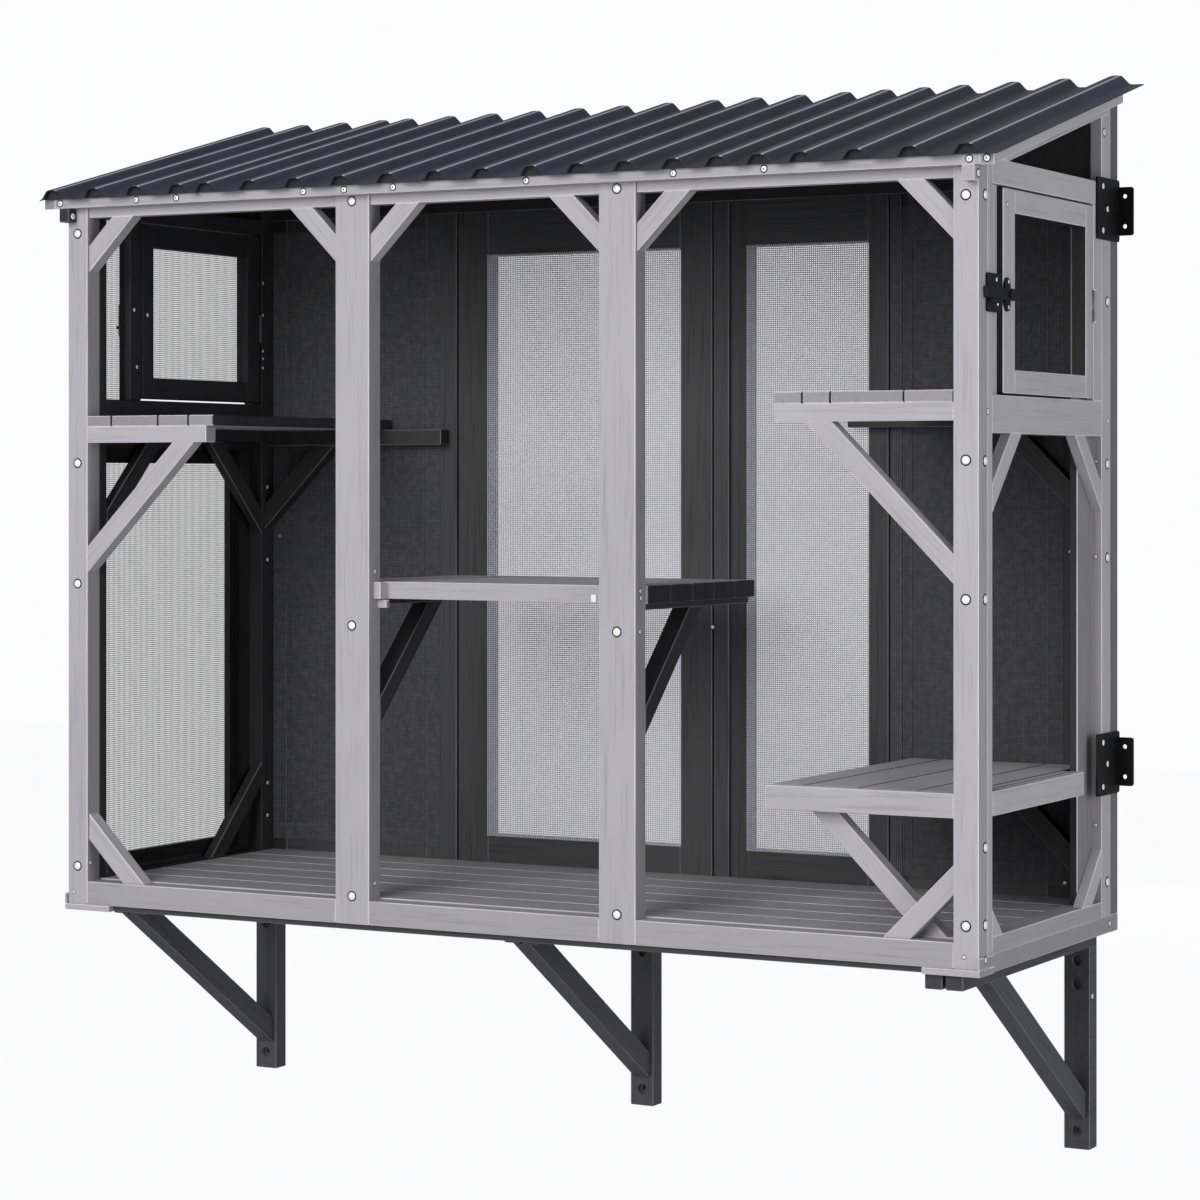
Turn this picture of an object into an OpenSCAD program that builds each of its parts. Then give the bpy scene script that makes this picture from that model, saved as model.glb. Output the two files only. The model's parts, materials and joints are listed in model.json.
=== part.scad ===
// Window box catio: a timber cabin that hangs on a wall under a lean-to roof, with four
// shelves inside, a small door in each side and three strutted brackets below the floor.
//
// Frame: X runs along the wall, -Y points away from the wall, Z is up. The wall is the
// plane Y = 0, the floor's top is Z = 0 and X = 0 is half way between the corner posts.

/* [Cabin] */
// Width over the outer faces of the corner posts
cabin_w = 1500; // [1440:10:1600]
// Depth from the wall to the front faces of the posts
cabin_d = 540; // [500:5:600]
// Height from the floor to the tops of the posts
cabin_h = 1044; // [1030:2:1100]
// How far the posts reach below the floor
post_drop = 37; // [30:1:45]

/* [Posts and frames] */
// Width of a corner post, seen from the front
corner_w = 36; // [30:1:44]
// Width of a middle post, seen from the front
mullion_w = 58; // [44:1:64]
// Thickness of the front posts, front to back
post_t = 32; // [26:1:38]
// Centre of the left middle post
mullion_left_x = -233; // [-260:1:-225]
// Centre of the right middle post
mullion_right_x = 207; // [190:1:215]
// Width of the side stile behind each corner post
front_stile_w = 18; // [14:1:24]
// Width of the side stile beside the back frame
rear_stile_w = 34; // [28:1:38]
// Thickness of the back frame
back_t = 33; // [28:1:36]
// Width of the back frame's left corner stile
back_corner_left = 63; // [50:1:80]
// Width of the back frame's right corner stile
back_corner_right = 97; // [80:1:110]
// Eased edge on sawn timber
ease = 1.2; // [0.5:0.1:2]

/* [Front rails and braces] */
// Height of the front top rails
top_rail_h = 29; // [24:1:34]
// Height of the front bottom rails
bottom_rail_h = 35; // [28:1:36]
// Step from the floor down to the top of the front bottom rails
sill_step = 2; // [1:0.5:4]
// Set-back of the top rails and knee braces from the post faces
rail_setback = 4; // [2:0.5:6]
// Width of a brace across its face
brace_w = 28; // [22:1:32]
// Thickness of a front brace
brace_t = 24; // [18:1:26]
// Far leg of a top knee brace, along the rail and down the post
top_knee = 83; // [70:1:100]
// Far leg of a bottom knee brace
bottom_knee = 104; // [80:1:115]

/* [Roof] */
// Slope of the roof in degrees
roof_slope = 14.57; // [12:0.25:16]
// Overhang of the sheet past the right corner post
roof_side_overhang = 40; // [34:1:60]
// Overhang of the sheet past the front posts
roof_front_overhang = 35; // [28:1:60]
// Height of the corrugations
wave_h = 15; // [10:1:20]
// Half width of a rib at its foot
rib_foot = 24; // [20:1:25]
// Half width of the flat top of a rib
rib_top = 7; // [5:0.5:10]
// Ribs from left to right, in even runs: where the first rib of each run stands
rib_runs_x = [-752, -469, 164, 381, 588];
// Pitch of the ribs in each run
rib_pitch = [77.6, 79.8, 75, 63.4, 79.8];
// Number of ribs in each run
rib_runs_n = [4, 8, 3, 3, 3];
// Edge of the sheet beyond its first rib
first_rib_edge = 25; // [24.5:0.5:38]
// Thickness of the sheet
sheet_t = 1.4; // [1:0.1:2.5]
// Height of the fascia boards
fascia_h = 16; // [12:1:22]
// Thickness of the fascia boards
fascia_t = 20; // [16:1:24]
// Gap between the side frames and the sloping fascias
fascia_gap = 10; // [4:1:12]
// Where the sloping fascias stop short of the wall
fascia_stop = 60; // [40:5:90]
// Depth of the rafters below the sheet
rafter_h = 34; // [26:1:40]
// Width of a middle rafter
rafter_w = 30; // [24:1:40]
// Width of the rafter tails that show under the front fascia
tail_w = 18; // [14:1:24]
// Height of those tails
tail_h = 21; // [16:1:26]

/* [Side panels] */
// Height of the horizontal rail above the right and the left door
side_top_rail_h = [34, 25];
// Height of the doorway below that rail, right and left
doorway_h = [283, 281];
// Height of the rail below the right door; the left one ends level with it
mid_rail_h = 51; // [40:1:60]
// Height of the side bottom rails
side_bottom_rail_h = 23; // [18:1:26]
// Thickness of a side brace
side_brace_t = 16; // [14:1:20]
// Width of the thin inner stiles of the lower openings
inner_stile_w = 58; // [40:1:66]
// Thickness of the thin inner stiles and screen rails
inner_t = 12; // [10:0.5:13]
// Far leg of the braces under the middle rail, right side
side_top_brace_right = 108; // [90:1:120]
// Far leg of the braces under the middle rail, left side
side_top_brace_left = 150; // [120:1:160]
// Far leg of the rear foot brace, right side
foot_brace_right = 78; // [60:1:100]
// Far leg of the rear foot brace, left side
foot_brace_left = 145; // [110:1:155]
// Leg of the small corner block at the front foot
foot_block = 38; // [26:1:50]
// Height of the left screen's top rail
screen_top_rail_h = 36; // [24:1:44]
// Height of the left screen's bottom rail
screen_bottom_rail_h = 27; // [20:1:34]

/* [Doors] */
// Thickness of the doors
door_t = 22; // [18:1:24]
// Running gap round a door
door_gap = 3; // [2:0.5:5]
// Width of the stile that carries the hinge of the right door
hinge_stile_w = 35; // [30:1:44]
// Width of the fixed jamb in front of the right door
right_jamb_w = 36; // [28:1:44]
// Set-back of that jamb from the face of the door
jamb_recess = 8; // [4:1:14]
// Width of the screened slot in front of the left door
left_slot_w = 60; // [50:1:66]
// Width of the fixed stile in front of the left door
left_jamb_w = 29; // [24:1:36]
// Front stile width of the right and the left door
door_front_stile = [43, 30];
// Rear stile width of the right and the left door
door_rear_stile = [26, 36];
// Top rail height of the right and the left door
door_top_rail = [32, 36];
// Bottom rail height of the right and the left door
door_bottom_rail = [32, 33];

/* [Hinges and latches] */
// Radius of a hinge barrel
knuckle_r = 2.6; // [2.2:0.1:3.2]
// Radius of a hinge pin
pin_r = 1.4; // [1.2:0.1:1.6]
// Height of a hinge
hinge_h = 45; // [36:1:60]
// Depth of the middle of the hinges and latches below the rail above the right door
latch_drop = 147; // [140:1:160]
// Thickness of a hinge leaf
leaf_t = 1.5; // [1:0.1:1.5]
// Width of a hinge leaf
leaf_w = 20; // [14:1:21]
// Length of the right and the left latch bar
bar_l = [109, 57];
// Height of a latch bar
bar_h = 16; // [12:1:18]
// Thickness of a latch bar
bar_t = 4; // [3:0.5:5]
// Distance from a latch pivot to the short end of its bar
bar_tail = 25; // [16:1:30]
// Thickness of the latch plates
latch_plate_t = 2.5; // [2:0.5:3]
// Radius of a latch rivet
rivet_r = 3; // [2.5:0.5:4]

/* [Floor and base] */
// Thickness of the floor planks
floor_t = 12; // [9:1:16]
// Number of floor planks
floor_planks_n = 6; // [4:1:8]
// Gap between planks
plank_gap = 1.4; // [0.8:0.2:2.4]
// Height of the base rails under the side frames
base_rail_h = 25; // [20:1:30]
// Step of the base corner blocks beyond the side frames
base_step = 3; // [2.5:0.5:8]
// Reach of those blocks along the front, inside the corner posts
block_reach = 44; // [30:1:60]
// Step of those blocks beyond the front of the posts
block_lead = 4; // [3:0.5:8]
// Width of a joist
joist_w = 30; // [24:1:40]

/* [Back wall] */
// Height of the bottom of the back windows
window_sill = 44; // [34:1:60]
// Height of the top rails of the back frame
header_rail_h = 71; // [60:1:90]
// Thickness of the boards behind the outer screens
back_board_t = 6; // [4:1:8]

/* [Screens] */
// Thickness of a screen
screen_t = 2; // [1:0.5:2]
// Pitch of the cells of a screen
screen_cell = 84; // [60:2:90]
// Width of a screen's strands
strand_w = 3; // [2:0.5:4]
// Overlap of a screen on its frame
screen_lap = 26; // [18:1:30]

/* [Shelves] */
// Thickness of the shelf planks
shelf_t = 16; // [12:1:20]
// Height of the rails under the shelves
shelf_rail_h = 25; // [20:1:30]
// Thickness of those rails
shelf_rail_t = 26; // [20:1:30]
// Top of the upper left shelf
shelf_ul_z = 711; // [700:1:720]
// Width of the upper left shelf
shelf_ul_w = 234; // [215:1:250]
// Top of the upper right shelf
shelf_ur_z = 733; // [715:1:745]
// Width of the upper right shelf
shelf_ur_w = 264; // [240:1:280]
// Top of the middle shelf
shelf_mid_z = 464; // [430:1:480]
// Left end of the middle shelf
shelf_mid_left = -282; // [-300:1:-270]
// Right end of the middle shelf
shelf_mid_right = 240; // [238:1:260]
// Depth of the middle shelf behind the posts
shelf_mid_d = 343; // [280:5:380]
// Thickness of the planks of the middle shelf
shelf_mid_t = 25; // [16:1:30]
// Top of the lower right shelf
shelf_lr_z = 196; // [190:1:215]
// Width of the lower right shelf
shelf_lr_w = 277; // [250:1:285]
// Height of the lower right shelf's edge boards
shelf_edge_h = 33; // [26:1:36]
// Thickness of those edge boards
shelf_edge_t = 18; // [14:1:20]
// Far leg of the front brace under the upper left shelf
shelf_brace_ul = 198; // [150:1:205]
// Far leg of the front brace under the upper right shelf
shelf_brace_ur = 218; // [170:1:230]
// Far leg of the braces under the middle shelf
shelf_brace_mid = 176; // [140:1:200]
// Far leg of the wall braces under the upper shelves
shelf_brace_wall = 137; // [110:1:150]

/* [Wall brackets] */
// Width of a wall board
board_w = 40; // [36:1:50]
// Thickness of a wall board
board_t = 30; // [24:1:31]
// How far the wall boards reach below the floor
board_drop = 367; // [350:1:420]
// Height of the bracket arms
arm_h = 21; // [18:1:28]
// Width of each of a bracket's two arms
arm_w = 25; // [20:1:30]
// Gap between the two arms
arm_gap = 5; // [3:1:8]
// Width of a strut
strut_w = 28; // [24:1:34]
// Depth of a strut across its slope
strut_d = 34; // [28:1:38]
// Where the front edge of a strut meets the arms, from the wall
strut_reach = 411; // [360:1:420]
// Height at which the lower edge of a strut meets its board, below the floor
strut_foot = 323; // [300:1:326]
// Radius of the holes for the wall bolts
wall_hole_r = 4.2; // [3.5:0.1:5]
// Radius of the counterbores round them
wall_bore_r = 8; // [7:0.5:9]
// Depth of the counterbores
wall_bore_d = 8; // [5:0.5:12]

/* [Steel corner brackets] */
// Thickness of the bent plate
steel_t = 3; // [2:0.5:4]
// Height of the leaf on the side frame
side_leaf_h = 90; // [76:1:100]
// Height of the leaf on the wall
wall_leaf_h = 71; // [60:1:80]
// Length of the leaf on the wall
wall_leaf_l = 25; // [22:1:30]
// Radius of the wall holes
steel_hole_r = 3.3; // [2.8:0.1:3.8]
// Distance between the wall holes
steel_hole_pitch = 44; // [36:1:50]

/* [Hidden] */

half_w = cabin_w / 2;
inner_x = half_w - corner_w;
front_y = -cabin_d;
post_back = front_y + post_t;
side_front = post_back + front_stile_w;
side_rear = -back_t - rear_stile_w;
tiny = 0.01;
facets = 16;

light = [0.66, 0.65, 0.68];
dark = [0.24, 0.24, 0.26];
navy = [0.12, 0.14, 0.19];
black = [0.06, 0.06, 0.065];
silver = [0.85, 0.85, 0.87];

// roof
eave_y = front_y - roof_front_overhang;
fascia_y = front_y - fascia_t;
roof_tan = tan(roof_slope);
rake_x = half_w + fascia_gap;
roof_right = half_w + roof_side_overhang;
rib_runs_w = 1500;
rib_scale = cabin_w / rib_runs_w;
ribs = [for (k = [0 : len(rib_runs_n) - 1], i = [0 : rib_runs_n[k] - 1])
    (rib_runs_x[k] + i * rib_pitch[k]) * rib_scale];
roof_left = ribs[0] - first_rib_edge * rib_scale;
// one rib: offsets from its centre and shares of its height
rib_shape = [[-rib_foot, 0.03], [-rib_foot + 5, 0.15], [-rib_top - 4, 0.84], [-rib_top, 1],
    [rib_top, 1], [rib_top + 4, 0.84], [rib_foot - 5, 0.15], [rib_foot, 0.03]];

fascia_drop = 1;
gable_heel = fascia_y + rafter_h / roof_tan;
gable_x = inner_x + corner_w / 2;
tail_inset = 16;

// rails and braces
brace_leg = brace_w * sqrt(2);
rail_y = front_y + rail_setback;
sill_z = -sill_step;
rail_bottom_z = sill_z - bottom_rail_h;
strip_setback = 8;

// side panels, the right one first where there are two numbers
side_top_z = [cabin_h - side_top_rail_h[0], cabin_h - side_top_rail_h[1]];
mid_rail_top = [side_top_z[0] - doorway_h[0], side_top_z[1] - doorway_h[1]];
mid_rail_bottom = mid_rail_top[0] - mid_rail_h;
side_sill_z = 2;
side_base_z = side_sill_z - side_bottom_rail_h;
base_z = side_base_z - base_rail_h;
inner_stile_front = side_rear - inner_stile_w;
screen_foot = 6;
screen_head = 12;

// doors: the right one first, then the left one
door_z0 = [mid_rail_top[0] + door_gap, mid_rail_top[1] + door_gap];
door_z1 = [side_top_z[0] - door_gap, side_top_z[1] - door_gap];
barrel_clear = 0.3;
leaf_gap = [0.5, knuckle_r + barrel_clear - leaf_t];
half_hinge_gap = [leaf_t + leaf_gap[0], leaf_t + leaf_gap[1]];
hinge_y = [side_rear - hinge_stile_w - half_hinge_gap[0], side_rear - half_hinge_gap[1]];
left_slot_y = side_front + left_slot_w;
door_front_y = [side_front + right_jamb_w + door_gap, left_slot_y + left_jamb_w + door_gap];
// the right door is flush with the outside, the left one with the inside
door_face = [half_w, inner_x + door_t];

// hinges and latches, measured from the outer face of their door
barrel_lead = knuckle_r + 0.1;
leaf_back = 0.2;
knuckle_gap = 0.3;
knuckle_h = hinge_h / 3 - knuckle_gap;
pin_clear = 0.05;
pivot_clear = 0.08;
latch_z = side_top_z[0] - latch_drop;
rivet_head_r = rivet_r + 2.2;
rivet_head_t = 1.6;
rivet_play = 0.3;
rivet_sink = 0.5;
latch_clear = 0.5;
bar_lead = latch_plate_t + latch_clear;
latch_plate_w = 20;
latch_plate_h = 46;
keeper_w = [52, 26];
keeper_h = 52;
keeper_offset = [22.5, 14];
ledge_h = 5;
ledge_l = [40, 18];
ledge_lead = 2;
bar_corner_r = 3;

// floor and base
joist_x = [-inner_x + joist_w / 2, -380, -22, 340, inner_x - joist_w / 2];

// back wall: edges of the four windows, and the stiles between them
window_head = cabin_h - header_rail_h;
windows = [[-half_w + back_corner_left, -415], [-299, 47], [164, 366],
    [433, half_w - back_corner_right]];
mid_stiles = [[-415, -359, 0], [-355, -299, 0], [47, 102, 0], [105, 131, 0], [131, 164, 8],
    [366, 399, 0], [402, 420, 0], [420, 433, 8]];
closed_windows = [0, 3];

// shelves
shelf_front = front_y;
ledger_t = 24;
ledger_y = -back_t - screen_t - ledger_t;
ul_edge = -inner_x + shelf_ul_w;
ur_edge = inner_x - shelf_ur_w;
lr_edge = inner_x - shelf_lr_w;
ul_joints = [45, 132, 188];
ur_joints = [42, 84, 192];
lr_joints = [49, 131, 216];
mid_planks_n = 5;
mid_cleat_h = 9;
mid_cleat_stop = 15;
stop_w = 12;
stop_d = 20;
low_stop_w = 16;
low_stop_d = 10;
low_stop_h = 13;
ledger_over = 107;
brace_set = 1;
lip_cleat_w = 24;
lr_lip_front = side_front + 2;
lr_lip_rear = inner_stile_front - 15;

// wall brackets
bracket_inset = [19, 52];
bracket_x = [-half_w + bracket_inset[0], -22, half_w - bracket_inset[1]];
arm_top = base_z;
arm_bottom = arm_top - arm_h;
arm_front = [-412, -412, front_y + 6];
hole_upper = -126;
hole_lower = -341;
hole_extra = -91;

// steel brackets
steel_drop = 38;
steel_z = [cabin_h - steel_drop, 201];
// the left leaves stop short of the left door
side_leaf_l = [93, 62];
wall_hole_x = half_w + 12;
plate_corner_r = 5;

// bolts
bolt_r = 6;
bolt_h = 2.4;
corner_bolt_drop = 53;
mullion_bolt_drop = 23;
latch_bolt_rise = 9;
corner_bolt_z = [cabin_h - corner_bolt_drop, 639, 454, 21];
mullion_bolt_z = [cabin_h - mullion_bolt_drop, 400, 4];
side_bolt_z = [cabin_h - corner_bolt_drop + 1, 638, 454, 124, 21];
stile_bolt_z = [latch_z + latch_bolt_rise, 636, 500, 29];
bolt_edge = 3;
stile_bolt_share = 0.65;

function roof_z(y) = cabin_h + (y - fascia_y) * roof_tan;
function eased(a0, a1, b0, b1) = [[a0 + ease, b0], [a1 - ease, b0], [a1, b0 + ease],
    [a1, b1 - ease], [a1 - ease, b1], [a0 + ease, b1], [a0, b1 - ease], [a0, b0 + ease]];

// outline in the XZ plane, given a thickness from y0 towards the wall
module xz_plate(points, y0, t) {
    translate([0, y0 + t, 0])
        rotate([90, 0, 0])
            linear_extrude(t)
                polygon(points);
}

// outline in the YZ plane, given a thickness from x0 to the right
module yz_plate(points, x0, t) {
    translate([x0, 0, 0])
        rotate([90, 0, 90])
            linear_extrude(t)
                polygon(points);
}

// sawn timbers with eased long edges, one module for each direction of the grain
module timber_x(x0, x1, y0, y1, z0, z1) {
    yz_plate(eased(y0, y1, z0, z1), x0, x1 - x0);
}

module timber_y(x0, x1, y0, y1, z0, z1) {
    xz_plate(eased(x0, x1, z0, z1), y0, y1 - y0);
}

module timber_z(x0, x1, y0, y1, z0, z1) {
    translate([0, 0, z0])
        linear_extrude(z1 - z0)
            polygon(eased(x0, x1, y0, y1));
}

// a piece and its mirror image on the left side
module both_sides() {
    children();
    mirror([1, 0, 0])
        children();
}

// a piece drawn on the right: 0 leaves it there, 1 puts it on the left side
module on_side(which) {
    mirror([which, 0, 0])
        children();
}

// brace across a corner, mitred onto both members; reach is its far leg
module brace_xz(cx, cz, dx, dz, reach, y0, t) {
    near = reach - brace_leg;
    xz_plate([[cx + dx * near, cz], [cx + dx * reach, cz], [cx, cz + dz * reach],
        [cx, cz + dz * near]], y0, t);
}

module brace_yz(cy, cz, dy, dz, reach, x0, t) {
    near = reach - brace_leg;
    yz_plate([[cy + dy * near, cz], [cy + dy * reach, cz], [cy, cz + dz * reach],
        [cy, cz + dz * near]], x0, t);
}

// planks side by side along Y, cut at the given joints
module planks_y(x0, x1, joints, y0, y1, z1) {
    edges = concat([0], joints, [x1 - x0]);
    for (i = [0 : len(edges) - 2]) {
        lead = i == 0 ? 0 : plank_gap;
        timber_y(x0 + edges[i] + lead, x0 + edges[i + 1], y0, y1, z1 - shelf_t, z1);
    }
}

// flat screen of square cells inside a border
module screen_2d(w, h) {
    nx = max(1, round(w / screen_cell));
    nz = max(1, round(h / screen_cell));
    cx = (w - strand_w) / nx;
    cz = (h - strand_w) / nz;
    difference() {
        square([w, h]);
        for (i = [0 : nx - 1], j = [0 : nz - 1])
            translate([i * cx + strand_w, j * cz + strand_w])
                square([cx - strand_w, cz - strand_w]);
    }
}

module screen_xz(x0, x1, z0, z1, y0) {
    translate([x0, y0 + screen_t, z0])
        rotate([90, 0, 0])
            linear_extrude(screen_t)
                screen_2d(x1 - x0, z1 - z0);
}

module screen_yz(y0, y1, z0, z1, x0) {
    translate([x0, y0, z0])
        rotate([90, 0, 90])
            linear_extrude(screen_t)
                screen_2d(y1 - y0, z1 - z0);
}

// plate outline with rounded corners
module rounded(w, h, r) {
    translate([r, 0])
        square([w - 2 * r, h]);
    translate([0, r])
        square([w, h - 2 * r]);
    for (x = [r, w - r], y = [r, h - r])
        translate([x, y])
            circle(r, $fn = facets);
}

// upright plate on a side frame, its lower front corner at y, z
module side_plate(x0, t, y, z, w, h, r) {
    translate([x0, y, z])
        rotate([90, 0, 90])
            linear_extrude(t)
                rounded(w, h, r);
}

// ---- roof ----

module roof_sheet() {
    under = [for (x = ribs, p = rib_shape) [x + p[0] * rib_scale, p[1] * wave_h]];
    lower = concat([[roof_left, 0]], under, [[roof_right, 0]]);
    upper = [for (i = [len(lower) - 1 : -1 : 0]) [lower[i][0], lower[i][1] + sheet_t]];
    run = -eave_y / cos(roof_slope);
    color(navy)
        translate([0, eave_y, roof_z(eave_y)])
            rotate([roof_slope, 0, 0])
                xz_plate(concat(lower, upper), 0, run);
}

module front_fascia() {
    color(light)
        timber_x(-rake_x, rake_x, fascia_y, front_y, cabin_h - fascia_h + fascia_drop,
            cabin_h - tiny);
}

module rake_fascias() {
    color(light)
        both_sides()
            yz_plate([[fascia_y, roof_z(fascia_y) - fascia_h],
                [-fascia_stop, roof_z(-fascia_stop) - fascia_h],
                [-fascia_stop, roof_z(-fascia_stop)],
                [fascia_y, roof_z(fascia_y)]], rake_x, fascia_t);
}

// rafter outline: level on the post, then sloping up to the back header
module rafter(x0, w) {
    yz_plate([[front_y, cabin_h], [gable_heel, cabin_h], [-back_t, roof_z(-back_t) - rafter_h],
        [-back_t, roof_z(-back_t)], [front_y, roof_z(front_y)]], x0, w);
}

module side_rafters() {
    color(light)
        both_sides()
            rafter(inner_x, corner_w);
}

module middle_rafters() {
    color(dark)
        for (x = [mullion_left_x, mullion_right_x])
            rafter(x - rafter_w / 2, rafter_w);
}

module back_header() {
    color(dark)
        yz_plate([[-back_t, cabin_h], [0, cabin_h], [0, roof_z(0)],
            [-back_t, roof_z(-back_t)]], -half_w, cabin_w);
}

module rafter_tails() {
    fascia_bottom = cabin_h - fascia_h + fascia_drop;
    color(light)
        both_sides()
            timber_y(half_w - tail_inset, half_w - tail_inset + tail_w, fascia_y, front_y,
                fascia_bottom - tail_h, fascia_bottom);
}

// ---- front ----

module corner_posts() {
    color(light)
        both_sides()
            timber_z(inner_x, half_w, front_y, post_back, -post_drop, cabin_h);
}

module mullions() {
    color(light)
        for (x = [mullion_left_x, mullion_right_x])
            timber_z(x - mullion_w / 2, x + mullion_w / 2, front_y, post_back,
                -post_drop, cabin_h);
}

// left and right edges of the three front bays
bays = [[-inner_x, mullion_left_x - mullion_w / 2],
    [mullion_left_x + mullion_w / 2, mullion_right_x - mullion_w / 2],
    [mullion_right_x + mullion_w / 2, inner_x]];

module front_top_rails() {
    color(light)
        for (bay = bays)
            timber_x(bay[0], bay[1], rail_y, rail_y + brace_t, cabin_h - top_rail_h, cabin_h);
}

module front_bottom_rails() {
    color(light)
        for (bay = bays)
            timber_x(bay[0], bay[1], front_y, post_back, rail_bottom_z, sill_z);
}

module top_knee_braces() {
    z = cabin_h - top_rail_h;
    color(light)
        for (bay = bays) {
            brace_xz(bay[0], z, 1, -1, top_knee, rail_y, brace_t);
            brace_xz(bay[1], z, -1, -1, top_knee, rail_y, brace_t);
        }
}

module bottom_knee_braces() {
    color(light)
        both_sides()
            brace_xz(inner_x, sill_z, -1, 1, bottom_knee, rail_y, brace_t);
}

// ---- base ----

module base_front_strip() {
    color(dark)
        timber_x(-inner_x + block_reach, inner_x - block_reach, front_y + strip_setback,
            post_back, base_z, -post_drop);
}

module base_rails() {
    color(light)
        timber_x(-half_w, half_w, -back_t, 0, base_z, side_base_z);
    color(light)
        both_sides()
            timber_y(inner_x, half_w, side_front, -back_t, base_z, side_base_z);
}

module base_corner_blocks() {
    color(light)
        both_sides() {
            timber_x(inner_x - block_reach, half_w + base_step, front_y - block_lead,
                post_back, base_z, -post_drop);
            timber_y(inner_x, half_w + base_step, post_back, side_front, base_z, -post_drop);
            timber_y(half_w, half_w + base_step, front_y - block_lead, side_front,
                -post_drop, side_base_z);
        }
}

module floor_joists() {
    color(dark)
        for (x = joist_x)
            timber_y(x - joist_w / 2, x + joist_w / 2, post_back, -back_t, base_z, -floor_t);
}

module floor_planks() {
    pitch = (-back_t - post_back) / floor_planks_n;
    color(light)
        for (i = [0 : floor_planks_n - 1])
            timber_x(-inner_x, inner_x, post_back + i * pitch + (i == 0 ? 0 : plank_gap),
                post_back + (i + 1) * pitch, -floor_t, 0);
}

// ---- sides ----

module side_front_stiles() {
    color(light)
        both_sides()
            timber_z(inner_x, half_w, post_back, side_front, -post_drop, cabin_h);
}

module side_rear_stiles() {
    color(light)
        both_sides()
            yz_plate([[side_rear, side_base_z], [-back_t, side_base_z],
                [-back_t, roof_z(-back_t) - rafter_h],
                [side_rear, roof_z(side_rear) - rafter_h]], inner_x, corner_w);
}

module side_inner_stiles() {
    color(dark) {
        timber_z(half_w - side_brace_t - inner_t, half_w - side_brace_t, inner_stile_front,
            side_rear, side_sill_z, mid_rail_bottom);
        timber_z(-half_w, -half_w + inner_t, inner_stile_front, side_rear,
            side_sill_z, mid_rail_bottom);
    }
}

module side_bottom_rails() {
    color(light)
        both_sides()
            timber_y(inner_x, half_w, side_front, side_rear, side_base_z, side_sill_z);
}

module side_mid_rails() {
    color(light)
        for (which = [0, 1])
            on_side(which)
                timber_y(inner_x, half_w, side_front, side_rear, mid_rail_bottom,
                    mid_rail_top[which]);
}

module side_top_rails() {
    color(light)
        for (which = [0, 1])
            on_side(which)
                timber_y(inner_x, half_w, side_front, side_rear, side_top_z[which], cabin_h);
}

module side_braces() {
    right_x = half_w - side_brace_t;
    color(light) {
        brace_yz(side_front, mid_rail_bottom, 1, -1, side_top_brace_right, right_x,
            side_brace_t);
        brace_yz(side_rear, mid_rail_bottom, -1, -1, side_top_brace_right, right_x,
            side_brace_t);
    }
    color(dark) {
        brace_yz(side_front, mid_rail_bottom, 1, -1, side_top_brace_left, -inner_x
            - side_brace_t + tiny, side_brace_t - tiny);
        brace_yz(side_rear, mid_rail_bottom, -1, -1, side_top_brace_left, -inner_x
            - side_brace_t + tiny, side_brace_t - tiny);
    }
}

module side_foot_braces() {
    color(light) {
        brace_yz(side_rear, side_sill_z, -1, 1, foot_brace_right, half_w - side_brace_t,
            side_brace_t);
        yz_plate([[side_front, side_sill_z], [side_front + foot_block, side_sill_z],
            [side_front, side_sill_z + foot_block]], half_w - side_brace_t, side_brace_t);
    }
    color(dark) {
        brace_yz(side_rear, side_sill_z, -1, 1, foot_brace_left,
            -inner_x - side_brace_t + tiny, side_brace_t - tiny);
        yz_plate([[side_front, side_sill_z], [side_front + foot_block, side_sill_z],
            [side_front, side_sill_z + foot_block]], -inner_x - side_brace_t + tiny,
            side_brace_t - tiny);
    }
}

module hinge_stiles() {
    color(light)
        timber_z(inner_x, half_w, side_rear - hinge_stile_w, side_rear, mid_rail_top[0],
            side_top_z[0]);
}

module latch_stiles() {
    color(light) {
        timber_z(inner_x, half_w - jamb_recess, side_front, side_front + right_jamb_w,
            mid_rail_top[0], side_top_z[0]);
        timber_z(-door_face[1], -inner_x, left_slot_y, left_slot_y + left_jamb_w,
            mid_rail_top[1], side_top_z[1]);
    }
}

module left_screen_rails() {
    color(dark) {
        timber_y(-half_w, -half_w + inner_t, side_front, inner_stile_front,
            mid_rail_bottom - screen_top_rail_h, mid_rail_bottom);
        timber_y(-half_w, -half_w + inner_t, side_front, inner_stile_front,
            side_sill_z, side_sill_z + screen_bottom_rail_h);
    }
}

module left_side_screen() {
    color(black)
        screen_yz(side_front, inner_stile_front + screen_lap,
            side_sill_z + screen_foot, mid_rail_bottom - screen_head, -half_w + inner_t);
}

module gable_screens() {
    rise = roof_z(side_rear) - rafter_h - cabin_h;
    run = side_rear - gable_heel;
    border = strand_w * 2;
    color(black)
        both_sides()
            translate([gable_x, gable_heel, cabin_h])
                rotate([90, 0, 90])
                    linear_extrude(screen_t) {
                        difference() {
                            polygon([[0, 0], [run, 0], [run, rise]]);
                            polygon([[border / roof_tan + border, border], [run - border, border],
                                [run - border, rise - border - border * roof_tan]]);
                        }
                        for (k = [1 : floor(run / screen_cell)])
                            if (k * screen_cell < run - border)
                                translate([k * screen_cell, 0])
                                    square([strand_w, k * screen_cell * roof_tan]);
                        intersection() {
                            polygon([[0, 0], [run, 0], [run, rise]]);
                            translate([0, rise / 2])
                                square([run, strand_w]);
                        }
                    }
}

module left_slot_screen() {
    color(black)
        screen_yz(side_front, left_slot_y, mid_rail_top[1], side_top_z[1],
            -inner_x - door_t / 2);
}

// ---- doors ----

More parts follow.
